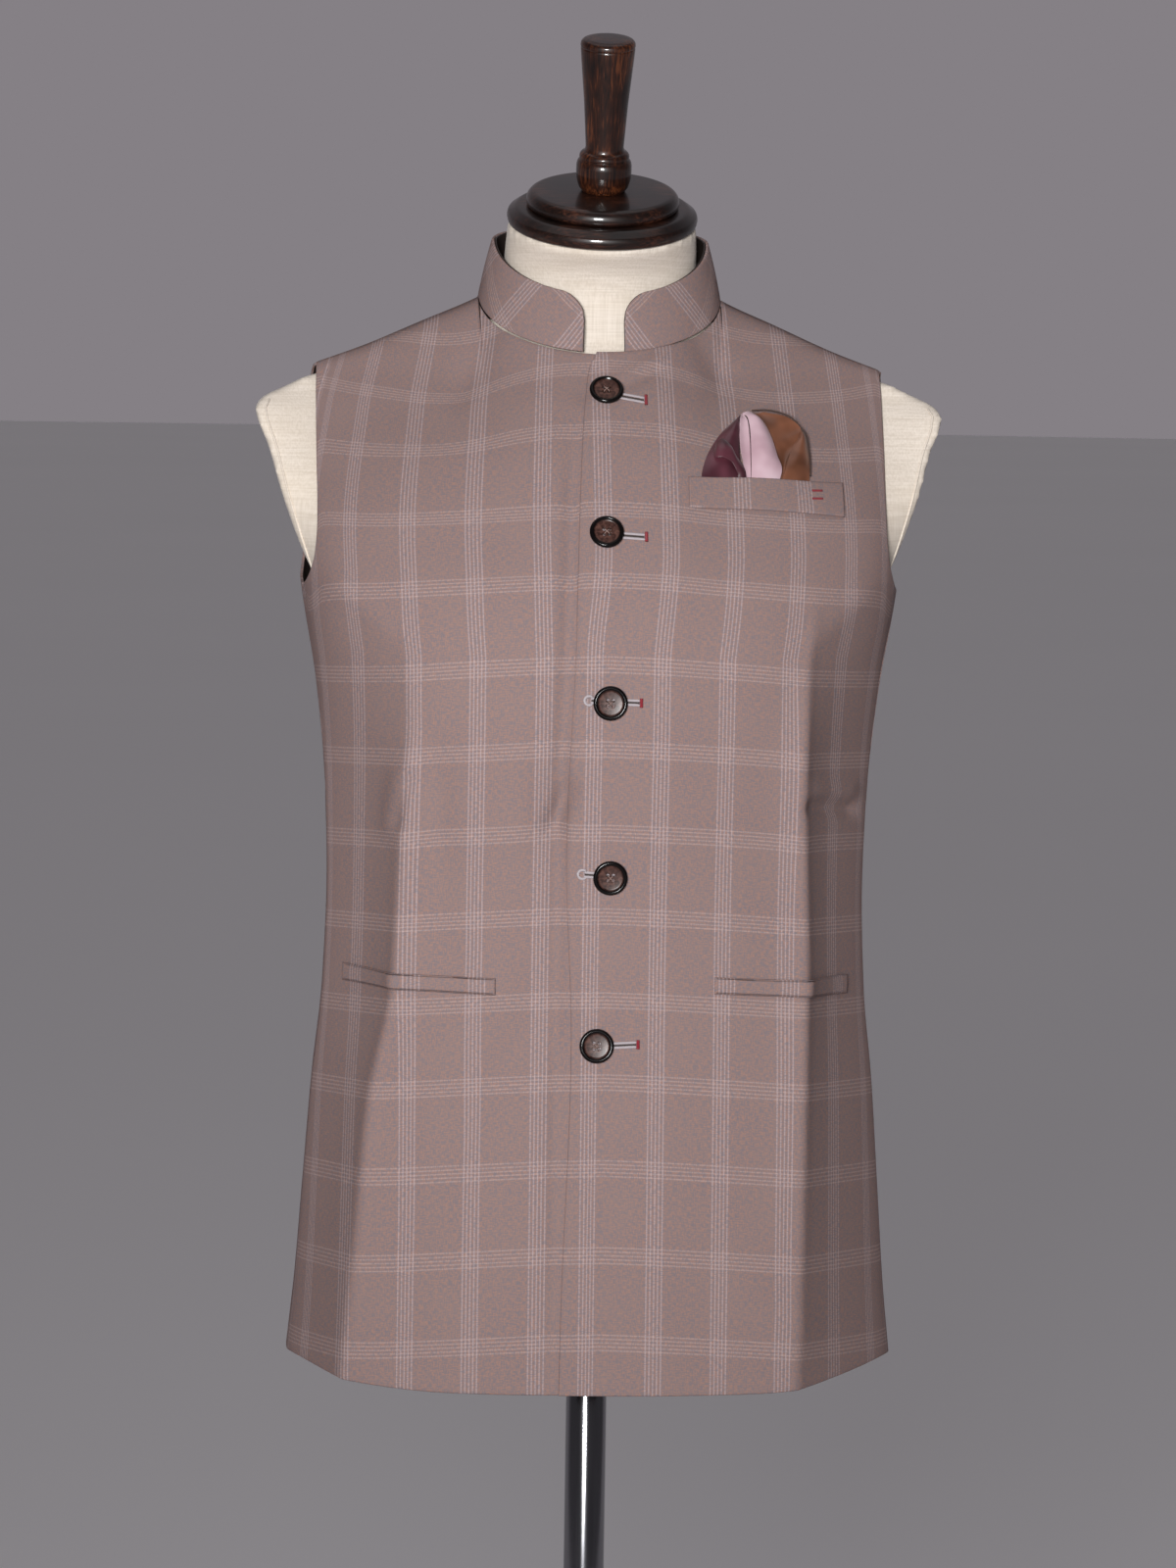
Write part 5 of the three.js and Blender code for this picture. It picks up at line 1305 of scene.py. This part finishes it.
chrome = metal_material("pole_polished_chrome", ("#8f8f94", "#b4b4b8"), 0.12, False)
steel = metal_material("stand_brushed_steel", ("#77777b", "#939396"), 0.38, True)
POLE = [(13.3, 10.4), (13.5, 10.8), (13.5, 848.8), (13.3, 849.2)]
FLANGE = [(0.02, 849.6), (44, 849.6), (45, 850.6), (45, 854.6), (44, 855.6), (0.02, 855.6)]
BASE_PLATE = [(0.02, 0), (173, 0), (175, 2), (175, 6), (171, 10), (150, 10), (0.02, 10)]
BASE_HUB = [(13.9, 10.4), (27, 10.4), (26, 25.4), (19, 38.4), (17, 40.4), (13.9, 40.4)]
pole = turned_mesh("pole_chromed", POLE, 96, Matrix(), chrome)
flange = turned_mesh("pole_flange_pressed", rounded(FLANGE, 0.5), 96, Matrix(), steel)
plate = turned_mesh("base_plate_pressed", rounded(BASE_PLATE, 1.5), 160, Matrix(), steel)
hub = turned_mesh("base_hub_turned", rounded(BASE_HUB, 1.0), 96, Matrix(), steel)
for part, node, slot in ((pole, "pole", "pole_chrome"), (flange, "pole_flange", "stand_steel"),
                         (plate, "base_plate", "stand_steel"), (hub, "base_hub", "stand_steel")):
    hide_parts(node)

# Floor and light
# A plain pale floor, and a grey surround that is lighter behind the form and brightest overhead. One
# broad soft light stands in front, a little above the camera and to the wearer's right of it.
FLOOR_RADIUS = 60
bpy.ops.mesh.primitive_circle_add(vertices=96, radius=FLOOR_RADIUS, fill_type="NGON", location=(0, 0, 0))
floor = bpy.context.object
floor.name = "floor_painted"
paint, paint_tree = new_material("floor_matt_paint")
paint_noise = add(paint_tree, "TexNoise", {"Scale": 40})
paint_colour = add(paint_tree, "MixRGB", {
    "Fac": paint_noise, "Color1": linear("#efedef"), "Color2": linear("#f3f1f3")})
paint_shader = add(paint_tree, "BsdfPrincipled", {"Base Color": paint_colour, "Roughness": 0.95})
add(paint_tree, "OutputMaterial", {"Surface": paint_shader})
floor.data.materials.append(paint)

LAMP = {"place": (-0.6, -3.85, 1.65), "aim": (0, 0, 1.27), "size": 0.8, "spread": 50, "watts": 14.6}
data = bpy.data.lights.new("key", "AREA")
data.shape, data.size, data.energy = "SQUARE", LAMP["size"], LAMP["watts"]
data.spread = math.radians(LAMP["spread"])
light = bpy.data.objects.new("key", data)
light.location = LAMP["place"]
light.rotation_euler = (Vector(LAMP["aim"]) - light.location).to_track_quat("-Z", "Y").to_euler()
bpy.context.scene.collection.objects.link(light)
world = bpy.data.worlds.new("soft_surround")
world.use_nodes = True
sky = world.node_tree
direction = add(sky, "SeparateXYZ", {0: add(sky, "TexCoord").outputs["Generated"]})
behind = add(sky, "MapRange", {"Value": direction.outputs["Y"], "From Min": 0.1, "From Max": 0.8},
             interpolation_type="SMOOTHSTEP")
overhead = add(sky, "MapRange", {"Value": direction.outputs["Z"], "From Min": 0.8, "From Max": 0.95},
               interpolation_type="SMOOTHSTEP")
wall = add(sky, "MixRGB", {"Fac": behind, "Color1": linear("#434144"), "Color2": linear("#858085")})
grey = add(sky, "MixRGB", {"Fac": overhead, "Color1": wall, "Color2": linear("#c4c2c4")})
sky.links.new(grey.outputs[0], sky.nodes["Background"].inputs["Color"])
bpy.context.scene.world = world
bpy.context.scene.view_settings.view_transform = "Standard"
